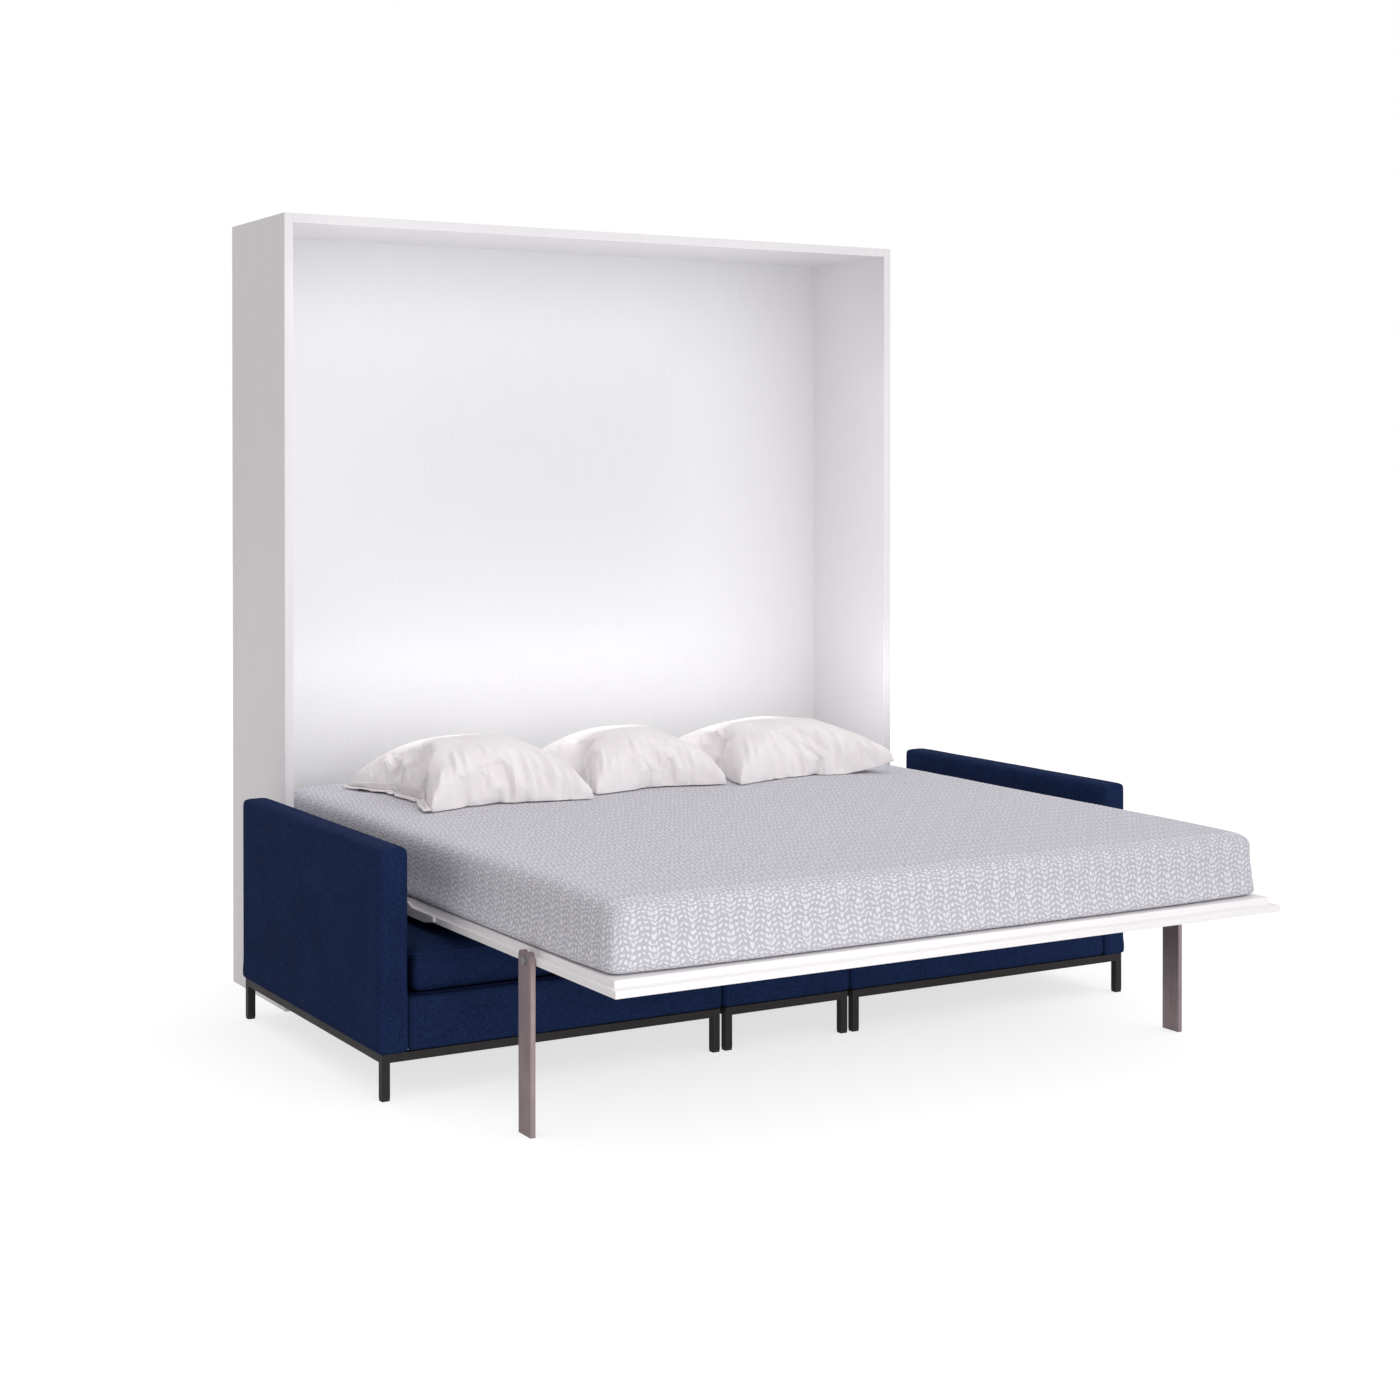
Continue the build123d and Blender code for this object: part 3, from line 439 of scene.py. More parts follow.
def leaf_mask(s, uv):
    """White sprigs: pairs of pointed leaves up swaying stems, every other stem turned over."""
    parts = s.add("SeparateXYZ")
    s.join(uv, parts.inputs[0])
    noise_x = s.noise(uv, STRAY_SCALE, 1.0)
    stray_x = s.span(noise_x, 0.25, 0.75, -STRAY / 2, STRAY / 2)
    noise_y = s.noise(s.mapped(uv, place=(3.7, 1.3, 0.0)), STRAY_SCALE, 1.0)
    stray_y = s.span(noise_y, 0.25, 0.75, -STRAY / 2, STRAY / 2)
    sheet_x = s.maths("ADD", parts.outputs["X"], stray_x)
    sheet_y = s.maths("ADD", parts.outputs["Y"], stray_y)
    mirrored = s.maths("PINGPONG", sheet_x, 2.0 * LEAF_COLUMN)
    phase = s.maths("SINE", s.maths("MULTIPLY", sheet_y, 2.0 * math.pi / STEM_WAVE))
    across = s.maths("MULTIPLY_ADD", phase, STEM_SWAY, mirrored)
    from_stem = s.maths("PINGPONG", across, LEAF_COLUMN / 2)
    column = s.maths("ROUND", s.maths("DIVIDE", across, LEAF_COLUMN))
    turned = s.maths("PINGPONG", column, 1.0)
    way = s.maths("MULTIPLY_ADD", turned, -2.0, 1.0)
    climb = s.maths("MULTIPLY_ADD", turned, LEAF_PITCH / 2, s.maths("MULTIPLY", sheet_y, way))
    up = s.maths("FLOORED_MODULO", climb, LEAF_PITCH)
    folded = s.add("CombineXYZ")
    s.join(from_stem, folded.inputs["X"])
    s.join(up, folded.inputs["Y"])
    upright = leaf_distance(s, folded.outputs[0], UPRIGHT_LEAF)
    spread = leaf_distance(s, folded.outputs[0], SPREAD_LEAF)
    change = s.maths("MULTIPLY", turned, s.maths("SUBTRACT", spread, upright))
    nearest = s.maths("ADD", upright, change)
    return s.span(nearest, *LEAF_EDGE)


def sheet_material():
    """Grey-lilac cotton with woven white leaf sprigs."""
    s = Shader("leaf_sheet", Sheen_Weight=0.12, Sheen_Roughness=0.5)
    s.bsdf.inputs["Specular IOR Level"].default_value = 0.25
    uv = s.coordinates("UV")
    mask = leaf_mask(s, uv)
    warp = s.wave(uv, 260.0, "X", 0.8, 1.0)
    weft = s.wave(uv, 260.0, "Y", 0.8, 1.0)
    weave = s.maths("MULTIPLY", s.maths("ADD", warp, weft), 0.5)
    fleck = s.noise(uv, 420.0, 2.0)
    ground = s.blend(s.span(fleck, 0.3, 0.7), rgb(178, 177, 185), rgb(202, 201, 210))
    white = s.blend(s.span(fleck, 0.35, 0.7), rgb(222, 221, 227), rgb(240, 240, 245))
    s.colour(s.blend(mask, ground, white))
    s.roughness(s.span(weave, 0.0, 1.0, 0.72, 0.9))
    s.bump([(weave, 0.0002), (mask, 0.0004)])
    return s.material


def pillow_material():
    """White cotton with a fine weave and the small creases of a washed pillowcase, with painted shade in
    the low parts of the creases.
    """
    s = Shader("white_cotton", Sheen_Weight=0.15, Sheen_Roughness=0.5, Subsurface_Weight=0.05)
    s.bsdf.inputs["Specular IOR Level"].default_value = 0.2
    s.bsdf.inputs["Subsurface Scale"].default_value = 0.01
    place = s.coordinates()
    warp = s.wave(place, 300.0, "X", 1.0, 1.0)
    weft = s.wave(place, 300.0, "Y", 1.0, 1.0)
    weave = s.maths("MULTIPLY", s.maths("ADD", warp, weft), 0.5)
    creases = s.noise(s.mapped(place, (2.2, 0.8, 1.0)), 9.0, 4.0, 0.55)
    # painted shade: the colour follows the crease bump and is a little darker where the bump is low
    tone = s.span(creases, 0.3, 0.7)
    s.colour(s.blend(tone, rgb(243, 238, 238), rgb(250, 247, 247)))
    s.roughness(s.span(weave, 0.0, 1.0, 0.75, 0.9))
    s.bump([(creases, 0.006), (weave, 0.00015)])
    return s.material


def metal_material(name, light, dark, rough, brush_axis):
    """Metal with a brushed direction, soft stains and a little uneven gloss."""
    s = Shader(name, Metallic=1.0)
    place = s.coordinates()
    stretch = [420.0, 420.0, 420.0]
    stretch[brush_axis] = 9.0
    brush = s.noise(s.mapped(place, tuple(stretch)), 1.0, 3.0, 0.6)
    stain = s.noise(place, 14.0, 3.0)
    tone = s.maths("MULTIPLY_ADD", brush, 0.6, s.maths("MULTIPLY", stain, 0.4))
    s.colour(s.blend(s.span(tone, 0.3, 0.7), light, dark))
    s.roughness(s.span(brush, 0.3, 0.7, rough - 0.06, rough + 0.1))
    s.bump([(brush, 0.00004)])
    return s.material


def powder_coat_material(name, light, dark, rough=0.42):
    """Powder coat: a fine pebbled skin, paler where it has been rubbed."""
    s = Shader(name)
    s.bsdf.inputs["Specular IOR Level"].default_value = 0.45
    place = s.coordinates()
    pebble = s.noise(place, 900.0, 2.0)
    rubbed = s.noise(place, 7.0, 4.0, 0.65)
    s.colour(s.blend(s.span(rubbed, 0.4, 0.75), dark, light))
    s.roughness(s.span(rubbed, 0.3, 0.7, rough, rough + 0.14))
    s.bump([(pebble, 0.00008)])
    return s.material


def wood_material():
    """Pale bare wood with grain along X, for the dowels and slats."""
    s = Shader("birch", Coat_Weight=0.05)
    place = s.coordinates()
    rings = s.wave(s.mapped(place, (0.6, 9.0, 9.0)), 7.0, "Y", 5.0, 3.0)
    fibre = s.noise(s.mapped(place, (6.0, 160.0, 160.0)), 2.0, 4.0)
    tone = s.maths("MULTIPLY_ADD", rings, 0.6, s.maths("MULTIPLY", fibre, 0.4))
    s.colour(s.blend(tone, rgb(214, 184, 142), rgb(184, 148, 104)))
    s.roughness(s.span(fibre, 0.3, 0.7, 0.5, 0.65))
    s.bump([(fibre, 0.0001)])
    return s.material


def plastic_material():
    """Black plastic with a fine mottled skin."""
    s = Shader("black_plastic")
    place = s.coordinates()
    grain = s.noise(place, 700.0, 3.0)
    s.colour(s.blend(grain, rgb(22, 22, 24), rgb(36, 36, 38)))
    s.roughness(s.span(grain, 0.3, 0.7, 0.4, 0.55))
    s.bump([(grain, 0.00008)])
    return s.material


def paint_cad_nodes():
    """Gives every CAD node that stays in sight its material, by the record's slots, and gives the back
    panel a darker copy of the board lacquer as painted shade.
    """
    boards = lacquer_material("cabinet_lacquer", BOARD_LIGHT, BOARD_DARK, grain_axis=2)
    # painted shade: a darker copy of the board lacquer for the back panel inside the cabinet
    back = lacquer_material("cabinet_back_lacquer_painted_shade", BACK_SHADED_LIGHT, BACK_SHADED_DARK, grain_axis=2)
    made = {
        "cabinet_lacquer": boards,
        "bed_lacquer": lacquer_material("bed_lacquer", BED_LIGHT, BED_DARK, grain_axis=0),
        "bare_wood": wood_material(),
        "zinc_steel": metal_material("zinc_steel", rgb(196, 197, 200), rgb(150, 152, 156), 0.35, 0),
        "arm_steel": powder_coat_material("arm_steel", rgb(242, 239, 240), rgb(226, 221, 223)),
        "bush_brass": metal_material("bush_brass", rgb(205, 168, 96), rgb(168, 132, 70), 0.3, 0),
        "strut_black": powder_coat_material("strut_black", rgb(34, 34, 36), rgb(20, 20, 22), 0.3),
        "strut_chrome": metal_material("strut_chrome", rgb(225, 226, 230), rgb(205, 206, 212), 0.12, 2),
        "leg_steel": metal_material("leg_steel", rgb(182, 167, 168), rgb(150, 133, 136), 0.42, 2),
        "black_plastic": plastic_material(),
        "sofa_frame_steel": powder_coat_material("sofa_frame_steel", rgb(34, 24, 24), rgb(17, 12, 13)),
    }
    for part in frame["record"]["subparts"]:
        if part["material_slot"] in made:
            node = NODES[part["node"]]
            node.data.materials.clear()
            # the back panel takes the darker copy, its painted shade
            is_back = part["node"] == "cabinet_back_panel"
            node.data.materials.append(back if is_back else made[part["material_slot"]])


# ---- mesh helpers ------------------------------------------------------------------------------------
def add_object(name, vertices, faces, material):
    """A smooth-shaded mesh object with one material."""
    mesh = bpy.data.meshes.new(name)
    mesh.from_pydata([tuple(v) for v in vertices], [], faces)
    mesh.update()
    made = bpy.data.objects.new(name, mesh)
    bpy.context.scene.collection.objects.link(made)
    mesh.polygons.foreach_set("use_smooth", [True] * len(mesh.polygons))
    mesh.materials.append(material)
    return made


def box_cage(low, high, step):
    """Points on a box's surface on an even grid, its quads, and the axis that each quad faces."""
    low, high = Vector(low), Vector(high)
    counts = [max(2, round((high[i] - low[i]) / step)) for i in range(3)]
    index, points, quads, sides = {}, [], [], []

    def point(key):
        if key not in index:
            index[key] = len(points)
            shares = [key[i] / counts[i] for i in range(3)]
            points.append([low[i] + (high[i] - low[i]) * shares[i] for i in range(3)])
        return index[key]

    for axis in range(3):
        first, second = [i for i in range(3) if i != axis]
        for end in (0, counts[axis]):
            for a in range(counts[first]):
                for b in range(counts[second]):
                    ring = []
                    for da, db in ((0, 0), (1, 0), (1, 1), (0, 1)):
                        key = [0, 0, 0]
                        key[axis], key[first], key[second] = end, a + da, b + db
                        ring.append(point(tuple(key)))
                    outward = (end > 0) == (axis != 1)
                    quads.append(ring if outward else ring[::-1])
                    sides.append(axis)
    return np.array(points), quads, sides


def rounded(points, low, high, radius):
    """Pulls box points in, so that the box's edges become arcs of this radius."""
    low, high = np.array(low, float), np.array(high, float)
    radius = np.array([radius] * 3 if np.isscalar(radius) else radius, float)
    core = np.clip(points, low + radius, high - radius)
    out = (points - core) / radius
    length = np.maximum(np.linalg.norm(out, axis=1, keepdims=True), 1e-9)
    return core + out * np.minimum(1.0, 1.0 / length) * radius


def add_subdivision(piece):
    modifier = piece.modifiers.new("smooth", "SUBSURF")
    modifier.levels = 1
    modifier.render_levels = 1


def finish_soft(piece, body, node):
    """Attaches a padded piece to its body, and hides the CAD node it stands for."""
    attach(piece, body)
    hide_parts(node)


def tube(name, points, radius, material):
    """A thin round piping along a closed line."""
    curve = bpy.data.curves.new(name, "CURVE")
    curve.dimensions = "3D"
    curve.bevel_depth = radius
    curve.bevel_resolution = 2
    spline = curve.splines.new("POLY")
    spline.points.add(len(points) - 1)
    for target, source in zip(spline.points, points):
        target.co = (*source, 1.0)
    spline.use_cyclic_u = True
    curve.materials.append(material)
    made = bpy.data.objects.new(name, curve)
    bpy.context.scene.collection.objects.link(made)
    return made


# ---- cloth simulation --------------------------------------------------------------------------------
CLOTH_QUALITY = 6
CLOTH_MASS = 0.3
CLOTH_SHEAR = 0.4            # share of the stretch stiffness
CLOTH_CLEARANCE = 0.003


def simulate(piece, pressure, frames, stiffness, bending, cap=None):
    """Runs Cloth with inner pressure, and keeps the result as the piece's own mesh.

    A cap in metres eases off each point's move as it nears that far.
    """
    scene = bpy.context.scene
    rest = np.array([v.co[:] for v in piece.data.vertices])
    modifier = piece.modifiers.new("cloth", "CLOTH")
    settings = modifier.settings
    settings.quality = CLOTH_QUALITY
    settings.mass = CLOTH_MASS
    settings.tension_stiffness = stiffness
    settings.compression_stiffness = stiffness
    settings.shear_stiffness = stiffness * CLOTH_SHEAR
    settings.bending_stiffness = bending
    settings.use_pressure = True
    settings.uniform_pressure_force = pressure
    settings.effector_weights.gravity = 0.0
    modifier.collision_settings.distance_min = CLOTH_CLEARANCE
    modifier.point_cache.frame_start = 1
    modifier.point_cache.frame_end = frames
    for frame_number in range(1, frames + 1):
        scene.frame_set(frame_number)
    evaluated = piece.evaluated_get(bpy.context.evaluated_depsgraph_get())
    moved = np.array([v.co[:] for v in evaluated.data.vertices])
    piece.modifiers.remove(modifier)
    scene.frame_set(1)
    if cap:
        shift = moved - rest
        length = np.maximum(np.linalg.norm(shift, axis=1, keepdims=True), 1e-9)
        moved = rest + shift * cap * np.tanh(length / cap) / length
    piece.data.vertices.foreach_set("co", moved.astype(np.float32).ravel())
    piece.data.update()
    return moved


# ---- mattress ----------------------------------------------------------------------------------------
MATTRESS_STEP = 0.022
UPPER_ROUNDING = (0.040, 0.040, 0.044)
LOWER_ROUNDING = (0.026, 0.026, 0.022)
TUCK_AT_CORNERS = 0.004      # how far the lower edge is tucked in
TUCK_MORE_BETWEEN = 0.018    # and how much more between the corners
SIDE_BULGE = 0.004
CORNER_DROP = 0.006


def make_mattress(material):
    """A mattress in its fitted sheet: soft edges, an uneven top, a tucked lower edge and faint pulls."""
    low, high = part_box("mattress")
    points, quads, sides = box_cage(low, high, MATTRESS_STEP)
    centre_z = (low.z + high.z) / 2
    size = np.array(high - low)
    centre = np.array(low + high) / 2
    upper = rounded(points, low, high, UPPER_ROUNDING)
    lower = rounded(points, low, high, LOWER_ROUNDING)
    shape = np.where((points[:, 2] > centre_z)[:, None], upper, lower)
    share = (points - centre) / (size / 2)
    height = (points[:, 2] - low.z) / size[2]
    corner = np.clip(np.abs(share[:, 0]), 0, 1) ** 6 * np.clip(np.abs(share[:, 1]), 0, 1) ** 6
    tuck = np.clip(1.0 - height * 2.4, 0, 1) ** 2
    for i in range(len(shape)):
        x, y, z = points[i]
        wave = noise.noise(Vector((x * 2.1, y * 2.1, z * 3.0)))
        fine = noise.noise(Vector((x * 9.0, y * 9.0, 4.0)))
        pulls = noise.noise(Vector((x * 26.0, y * 26.0, 9.0)))
        on_top = max(0.0, height[i] * 2.0 - 1.0)
        shape[i][2] += on_top * (0.0018 * wave + 0.0008 * fine - 0.002)
        tucked_in = TUCK_AT_CORNERS + TUCK_MORE_BETWEEN * (1.0 - corner[i]) + 0.003 * pulls
        side_out = 0.0022 * wave - tucked_in * tuck[i]
        bulge = SIDE_BULGE * math.sin(math.pi * height[i])
        for axis in (0, 1):
            edge = max(0.0, abs(share[i][axis]) * 8.0 - 7.0)
            shape[i][axis] += math.copysign(edge * (side_out + bulge - 0.005), share[i][axis])
        shape[i][2] -= CORNER_DROP * corner[i] * on_top
    piece = add_object("mattress_in_sheet", shape, quads, material)
    layer = piece.data.uv_layers.new(name="cloth")
    for polygon, side in zip(piece.data.polygons, sides):
        for loop in polygon.loop_indices:
            x, y, z = points[piece.data.loops[loop].vertex_index]
            drop = high.z - z
            if side == 2:
                uv = (y, x)
            elif side == 1:
                uv = (x, low.y - drop) if y < centre[1] else (x, high.y + drop)
            else:
                uv = (y, low.y - drop)
            layer.data[loop].uv = uv
    add_subdivision(piece)
    finish_soft(piece, "bed", "mattress")


# ---- pillows -----------------------------------------------------------------------------------------
MATTRESS_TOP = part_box("mattress")[1].z
PILLOW_STEP = 0.0085         # the cage that is simulated; the finished mesh is twice as fine
PILLOW_SPARE = 1.08          # the flat cloth is this much larger than the pillow
PILLOW_PLUMP = 0.03
PILLOW_FULLNESS = 0.62       # under 1 fills the pillow out towards its edge
PILLOW_PRESSURE = 4.0
PILLOW_FRAMES = 24
PILLOW_STIFFNESS = 25.0
PILLOW_BENDING = 0.2
PILLOW_THINNEST = 0.003
PILLOW_GAP = 0.0005          # between the sheet and the pillow
FRONT_FOLDS = 15
SIDE_FOLDS = 5
RAISED_REACH = 0.17          # how far from its tip a raised corner starts to lift
HEM_LENGTH = 0.026
HEM_UPPER_SHARE = 0.62       # the upper flap is this share of the lower one
HEM_THICKNESS = 0.0035
HEM_STEPS = 5
HEM_RUFFLE = 0.005
HEM_GAPE = 0.030
HEM_RISE = 0.004


def pillow_cage(width, depth, plump, across, along):
    """Two cloth faces joined round the edge, slightly swollen: points, quads, and an index by face."""
    points, quads, index = [], [], {}
    for face in (1, -1):
        for i in range(across + 1):
            for j in range(along + 1):
                rim = i in (0, across) or j in (0, along)
                key = (0 if rim else face, i, j)
                if key not in index:
                    u, v = 2.0 * i / across - 1.0, 2.0 * j / along - 1.0
                    swell = plump * math.sqrt(max(0.0, (1.0 - u**4) * (1.0 - v**4)))
                    index[key] = len(points)
                    points.append([u * width / 2, v * depth / 2, face * swell])
                index[(face, i, j)] = index[key]
    for face in (1, -1):
        for i in range(across):
            for j in range(along):
                corners = ((i, j), (i + 1, j), (i + 1, j + 1), (i, j + 1))
                ring = [index[(face, *corner)] for corner in corners]
                quads.append(ring if face > 0 else ring[::-1])
    return np.array(points), quads, index


def finer_pillow(shape, index, across, along):
    """The same two faces with twice as many steps each way."""
    points, quads, fine = pillow_cage(1.0, 1.0, 0.0, 2 * across, 2 * along)
    fitted = np.zeros((len(points), 3))
    for (face, i, j), place in fine.items():
        near = [index[(face, (i + a) // 2, (j + b) // 2)] for a in (0, 1) for b in (0, 1)]
        fitted[place] = shape[near].mean(axis=0)
    return fitted, quads, fine


def fold_height(places, start, end, width, height):
    """Height of a fold at each place: a ridge along a line, with a shallow valley at each side."""
    start, run = np.array(start), np.array(end) - np.array(start)
    share = np.clip((places - start) @ run / (run @ run), 0.0, 1.0)
    gap = np.linalg.norm(places - start - share[:, None] * run, axis=1) / width
    taper = np.sin(np.pi * np.clip(share * 0.8 + 0.2, 0, 1)) ** 0.8
    ridge = np.exp(-np.abs(gap) ** 1.6)
    return height * taper * (ridge - 0.5 * np.exp(-((gap - 1.8) ** 2)))


def front_folds(size, rng):
    """Small folds that run up from the front edge towards the crown: start, end, width and height."""
    half_x, half_y = size[0] / 2, size[1] / 2
    for k in range(FRONT_FOLDS):
        share = -0.9 + 1.8 * (k + rng.uniform(0.15, 0.85)) / FRONT_FOLDS
        length = rng.uniform(0.2, 0.6)
        start = (share * half_x, -half_y)
        end = (share * half_x * (1.0 - 0.5 * length), -half_y * (1.0 - length))
        yield start, end, rng.uniform(0.0055, 0.0095), rng.uniform(0.004, 0.0085)


def side_folds(size, rng):
    """Small folds that run in from the left and right edges: start, end, width and height."""
    half_x, half_y = size[0] / 2, size[1] / 2
    for side in (-1.0, 1.0):
        for k in range(SIDE_FOLDS):
            share = -0.8 + 1.6 * (k + rng.uniform(0.2, 0.8)) / SIDE_FOLDS
            length = rng.uniform(0.15, 0.45)
            start = (side * half_x, share * half_y)
            end = (side * half_x * (1.0 - length), share * half_y * (1.0 - 0.4 * length))
            yield start, end, rng.uniform(0.01, 0.016), rng.uniform(0.0025, 0.005)


def hem_flap(rim, side):
    """One flap of a pillowcase's open end, past the pillow's left edge: side 1 is upper, -1 lower."""
    points, quads = [], []
    length = HEM_LENGTH * (HEM_UPPER_SHARE if side > 0 else 1.0)
    for level in (0.0, -HEM_THICKNESS):
        for i, base in enumerate(rim):
            share = i / (len(rim) - 1)
            gape = math.sin(math.pi * share) ** 0.7
            for k in range(HEM_STEPS + 1):
                t = 1.3 * k / HEM_STEPS - 0.3
                ruffle = HEM_RUFFLE * noise.noise(Vector((base[1] * 22.0, t * 1.5, side * 3.0)))
                lift = (HEM_GAPE * gape if side > 0 else 0.0) * max(0.0, t) + HEM_RISE
                out = length * t * (0.85 + 0.15 * gape) * (1.0 + 0.25 * ruffle / HEM_RUFFLE)
                rise = max(0.0005, lift + ruffle * max(0.0, t)) + level + HEM_THICKNESS
                points.append([base[0] - out, base[1], rise])
    rows, columns = len(rim), HEM_STEPS + 1

    def at(level, i, k):
        return (level * rows + i) * columns + k

    end, last = HEM_STEPS, rows - 1
    for i in range(last):
        for k in range(end):
            quads.append([at(0, i, k), at(0, i, k + 1), at(0, i + 1, k + 1), at(0, i + 1, k)])
            quads.append([at(1, i, k), at(1, i + 1, k), at(1, i + 1, k + 1), at(1, i, k + 1)])
        quads.append([at(0, i, end), at(1, i, end), at(1, i + 1, end), at(0, i + 1, end)])
        quads.append([at(0, i, 0), at(0, i + 1, 0), at(1, i + 1, 0), at(1, i, 0)])
    for k in range(end):
        quads.append([at(0, 0, k), at(1, 0, k), at(1, 0, k + 1), at(0, 0, k + 1)])
        quads.append([at(0, last, k), at(0, last, k + 1), at(1, last, k + 1), at(1, last, k)])
    return points, quads


def make_pillow(name, node, material, height, seed, folds, open_end=False, raised_corner=0.0):
    """A stuffed pillow: two flat cloths blown up by pressure, laid flat below, and creased."""
    low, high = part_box(node)
    hem = HEM_LENGTH if open_end else 0.0
    size = (high.x - low.x - hem, high.y - low.y)
    middle = ((low.x + hem + high.x) / 2, (low.y + high.y) / 2)
    rng = random.Random(seed)
    spare = (size[0] * PILLOW_SPARE, size[1] * PILLOW_SPARE)
    across, along = round(spare[0] / PILLOW_STEP), round(spare[1] / PILLOW_STEP)
    points, quads, index = pillow_cage(*spare, PILLOW_PLUMP, across, along)
    offset = rng.uniform(0, 50)
    for p in points:
        p[2] += 0.003 * noise.noise(Vector((p[0] * 9.0 + offset, p[1] * 9.0, p[2] * 20.0)))
    cloth = add_object(name + "_cloth", points, quads, material)
    shape = simulate(cloth, PILLOW_PRESSURE, PILLOW_FRAMES, PILLOW_STIFFNESS, PILLOW_BENDING)
    bpy.data.objects.remove(cloth)
    span = shape.max(axis=0) - shape.min(axis=0)
    for axis in (0, 1):
        line = shape[:, axis]
        shape[:, axis] = (line - (line.max() + line.min()) / 2) * size[axis] / span[axis]
    shape, quads, index = finer_pillow(shape, index, across, along)
    across, along = 2 * across, 2 * along
    laid = shape.copy()
    wrinkles = list(folds) + list(front_folds(size, rng)) + list(side_folds(size, rng))
    creases = sum(fold_height(shape[:, :2], *fold) for fold in wrinkles)
    thickness = 0.0
    for i in range(across + 1):
        for j in range(along + 1):
            top, under = index[(1, i, j)], index[(-1, i, j)]
            laid[under][2] = 0.0
            laid[top][2] = max(0.0, shape[top][2] - shape[under][2])
            thickness = max(thickness, laid[top][2])
    for i in range(across + 1):
        for j in range(along + 1):
            top, under = index[(1, i, j)], index[(-1, i, j)]
            x, y = laid[top][0], laid[top][1]
            corner = math.hypot(x - size[0] / 2, y + size[1] / 2) / RAISED_REACH
            raised = raised_corner * max(0.0, 1.0 - corner) ** 1.6
            inner = min(i, across - i, j, along - j)
            if top != under:
                dome = height * (laid[top][2] / thickness) ** PILLOW_FULLNESS
                laid[top][2] = dome + creases[top] * min(1.0, inner / 4.0)
                laid[top][2] = max(laid[top][2], PILLOW_THINNEST)
                laid[under][2] = raised
            laid[top][2] += raised if top != under else raised + 0.002
    final = [[x + middle[0], y + middle[1], z + MATTRESS_TOP + PILLOW_GAP] for x, y, z in laid]
    if open_end:
        rim = [final[index[(1, 0, j)]] for j in range(along + 1)]
        for side in (1.0, -1.0):
            flap, flap_quads = hem_flap(rim, side)
            start = len(final)
            final.extend([x, y, z + MATTRESS_TOP + PILLOW_GAP] for x, y, z in flap)
            quads.extend([start + v for v in quad] for quad in flap_quads)
    piece = add_object(name, final, quads, material)
    finish_soft(piece, "bed", node)
    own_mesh(piece)


def make_pillows(material):
    """Three pillows: the left one is open at its left end, the right one's front right corner lifts."""
    # start and end from the pillow's middle, width and height
    end_folds = [
        ((-0.27, -0.03), (-0.14, 0.08), 0.030, 0.016),
        ((-0.27, -0.19), (-0.15, -0.08), 0.026, 0.015),
        ((-0.27, 0.12), (-0.17, 0.16), 0.022, 0.008),
    ]
    make_pillow("left_pillow", "pillow_left", material, 0.158, 3, end_folds, open_end=True)
    make_pillow("middle_pillow", "pillow_middle", material, 0.152, 7, [])
    make_pillow("right_pillow", "pillow_right", material, 0.150, 11, [], raised_corner=0.036)


# ---- sofa upholstery ---------------------------------------------------------------------------------
SEAT_STEP = 0.02
# a seat cushion starts this much inside its CAD box, then its top swells and its sides draw in
SEAT_INSET = 0.006
SEAT_DROP = 0.012
SEAT_ROUNDING = 0.013
SEAT_CROWN = 0.006
SEAT_PULL = 0.003
SEAT_PRESSURE = 4.0
SEAT_FRAMES = 16
SEAT_STIFFNESS = 18.0
SEAT_BENDING = 1.0
SEAT_MOST_MOVE = 0.011
SEAT_GAP = 0.0005
SEAT_PROUD = 0.006           # the most that its top may stand above the CAD box
WELT_RADIUS = 0.0024
WELT_CORNER = 0.03
WELT_INSET = 0.0035          # inside the CAD box, so the piping stands off sides that have drawn in
WELT_BELOW_TOP = 0.017
WELT_ABOVE_BOTTOM = 0.004
ARM_STEP = 0.014
ARM_ROUNDING = 0.011
ARM_TIGHT = 0.0015           # rounding where the arm meets the base and the rail
BASE_STEP = 0.02
BASE_ROUNDING = (0.0012, 0.006, 0.008)
BASE_TIGHT = 0.0012
TIGHT_HEIGHT = 0.03          # the tight rounding reaches this high above the rail
ON_FACE = 0.999              # share of a half size from which a point lies on the face


def cushion_shape(points, low, high, radius, crown, pull):
    """A stuffed block: arcs at the edges, a crowned top, and sides that pull in between the corners."""
    low, high = np.array(low), np.array(high)
    centre, half = (low + high) / 2, (high - low) / 2
    share = (points - centre) / half
    shape = rounded(points, low, high, radius)
    bow_x = 1.0 - share[:, 0] ** 2
    bow_y = 1.0 - share[:, 1] ** 2
    top = np.clip(share[:, 2], 0, 1)
    shape[:, 2] += top * crown * np.sqrt(np.clip(bow_x * bow_y, 0, 1))
    for axis, bow in ((0, bow_y), (1, bow_x)):
        edge = np.clip(np.abs(share[:, axis]) * 3.0 - 2.0, 0, 1)
        shape[:, axis] -= np.sign(share[:, axis]) * edge * pull * bow * (0.4 + 0.6 * np.abs(share[:, 2]))
    return shape


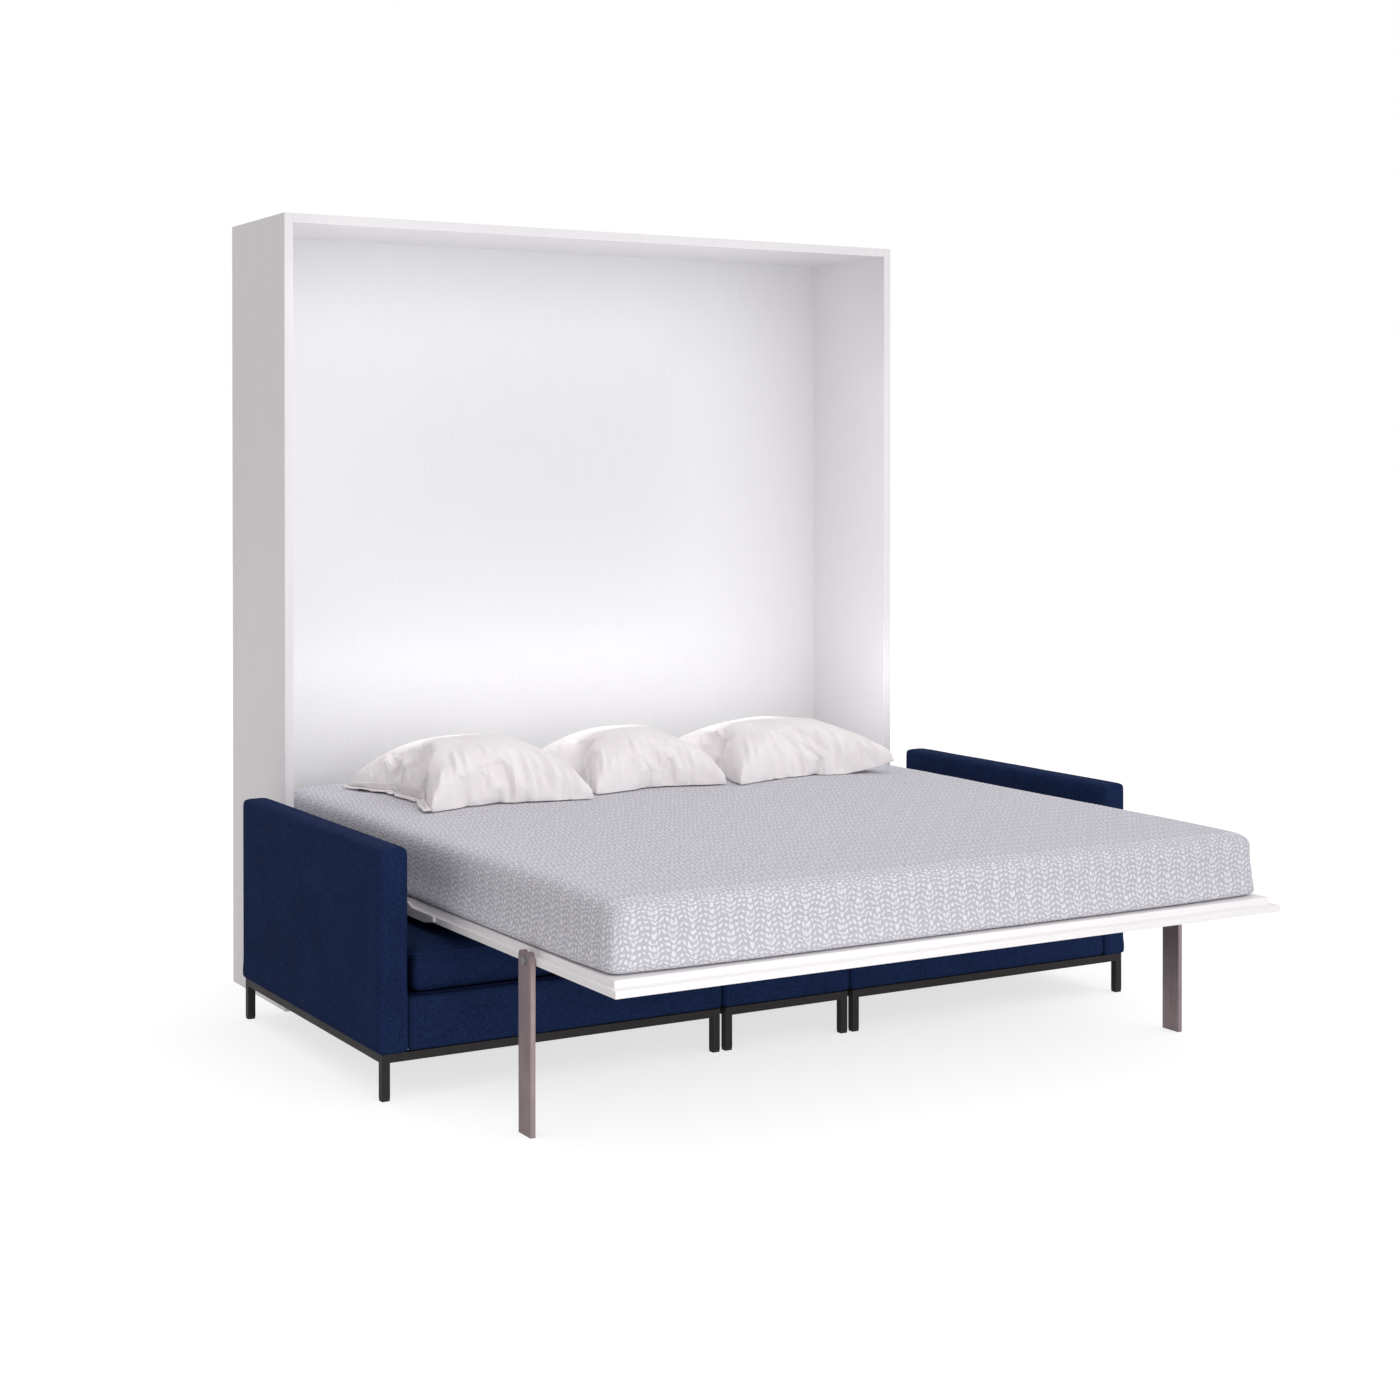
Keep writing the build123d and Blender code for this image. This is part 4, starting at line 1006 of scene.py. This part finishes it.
def make_seat_cushion(section, material, seam):
    """A seat cushion blown up by pressure, with piping round it near its top and a seam near its bottom."""
    node = f"seat_cushion_{section}"
    low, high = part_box(node)
    inner_low = low + Vector((SEAT_INSET, SEAT_INSET, 0.0))
    inner_high = high - Vector((SEAT_INSET, SEAT_INSET, SEAT_DROP))
    points, quads, _ = box_cage(inner_low, inner_high, SEAT_STEP)
    shape = cushion_shape(points, inner_low, inner_high, SEAT_ROUNDING, SEAT_CROWN, SEAT_PULL)
    piece = add_object(f"seat_{section}", shape, quads, material)
    settled = simulate(
        piece,
        SEAT_PRESSURE,
        SEAT_FRAMES,
        SEAT_STIFFNESS,
        SEAT_BENDING,
        cap=SEAT_MOST_MOVE,
    )
    settled[:, 2] = np.maximum(settled[:, 2], low.z + SEAT_GAP)
    settled[:, 2] = np.minimum(settled[:, 2], high.z + SEAT_PROUD)
    piece.data.vertices.foreach_set("co", settled.astype(np.float32).ravel())
    add_subdivision(piece)
    finish_soft(piece, "cabinet_and_sofa", node)
    rows = (
        ("upper", high.z - WELT_BELOW_TOP, material),
        ("lower", low.z + WELT_ABOVE_BOTTOM, seam),
    )
    for label, level, cloth in rows:
        line = ring_points(low, high, level, WELT_CORNER, WELT_INSET)
        welt = tube(f"seat_{section}_welt_{label}", line, WELT_RADIUS, cloth)
        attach(welt, "cabinet_and_sofa")


def ring_points(low, high, level, corner, inset):
    """A level rounded rectangle just inside a box, as points."""
    x0, x1, y0, y1 = low.x + inset, high.x - inset, low.y + inset, high.y - inset
    points = []
    for cx, cy, start in (
        (x1 - corner, y1 - corner, 0),
        (x0 + corner, y1 - corner, 90),
        (x0 + corner, y0 + corner, 180),
        (x1 - corner, y0 + corner, 270),
    ):
        for k in range(7):
            angle = math.radians(start + 15 * k)
            points.append((cx + corner * math.cos(angle), cy + corner * math.sin(angle), level))
    return points


def make_arm(side, material):
    """An upholstered arm board: flat padded faces with soft edges, crisp where it meets the base."""
    node = f"sofa_arm_{side}"
    low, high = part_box(node)
    points, quads, _ = box_cage(low, high, ARM_STEP)
    soft = rounded(points, low, high, ARM_ROUNDING)
    tight = rounded(points, low, high, ARM_TIGHT)
    base_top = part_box(f"sofa_base_{side}")[1].z
    middle_x = (low.x + high.x) / 2
    inner = points[:, 0] > middle_x if side == "left" else points[:, 0] < middle_x
    at_base = inner & (points[:, 2] < base_top)
    crisp = at_base | (points[:, 2] < low.z + TIGHT_HEIGHT)
    shape = np.where(crisp[:, None], tight, soft)
    centre, half = np.array(low + high) / 2, np.array(high - low) / 2
    share = (points - centre) / half
    for i in range(len(shape)):
        x, y, z = points[i]
        ripple = noise.noise(Vector((x * 3.0, y * 5.0, z * 5.0)))
        for axis in (0, 1, 2):
            if abs(share[i][axis]) > ON_FACE:
                others = [a for a in (0, 1, 2) if a != axis]
                rims = [min(1.0, 8.0 * (1 - abs(share[i][other]))) for other in others]
                fade = rims[0] * rims[1]
                bulge = (0.0012 * ripple - 0.001) * fade
                shape[i][axis] += math.copysign(bulge, share[i][axis])
    piece = add_object(f"arm_{side}", shape, quads, material)
    add_subdivision(piece)
    finish_soft(piece, "cabinet_and_sofa", node)


def make_base(section, material):
    """A section's upholstered base: a tight box with a softer, slightly uneven front."""
    node = f"sofa_base_{section}"
    low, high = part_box(node)
    points, quads, _ = box_cage(low, high, BASE_STEP)
    soft = rounded(points, low, high, BASE_ROUNDING)
    tight = rounded(points, low, high, BASE_TIGHT)
    shape = np.where((points[:, 2] > low.z + TIGHT_HEIGHT)[:, None], soft, tight)
    centre, half = np.array(low + high) / 2, np.array(high - low) / 2
    share = (points - centre) / half
    front = share[:, 1] < -ON_FACE
    fade = np.clip(6.0 * (1 - np.abs(share[:, 0])), 0, 1)
    fade *= np.clip(3.0 * (1 - np.abs(share[:, 2])), 0, 1)
    for i in np.nonzero(front)[0]:
        ripple = noise.noise(Vector((points[i][0] * 4.0, 2.0, points[i][2] * 8.0)))
        shape[i][1] += fade[i] * (0.0012 * ripple + 0.001)
    piece = add_object(f"base_{section}", shape, quads, material)
    add_subdivision(piece)
    finish_soft(piece, "cabinet_and_sofa", node)


def make_sofa(material, seam):
    for section in ("left", "middle", "right"):
        make_base(section, material)
        make_seat_cushion(section, material, seam)
    for side in ("left", "right"):
        make_arm(side, material)


# ---- build -------------------------------------------------------------------------------------------
make_camera()
make_stage()
paint_cad_nodes()
navy = upholstery_material()
navy_seam = seam_material()
make_mattress(sheet_material())
make_pillows(pillow_material())
make_sofa(navy, navy_seam)
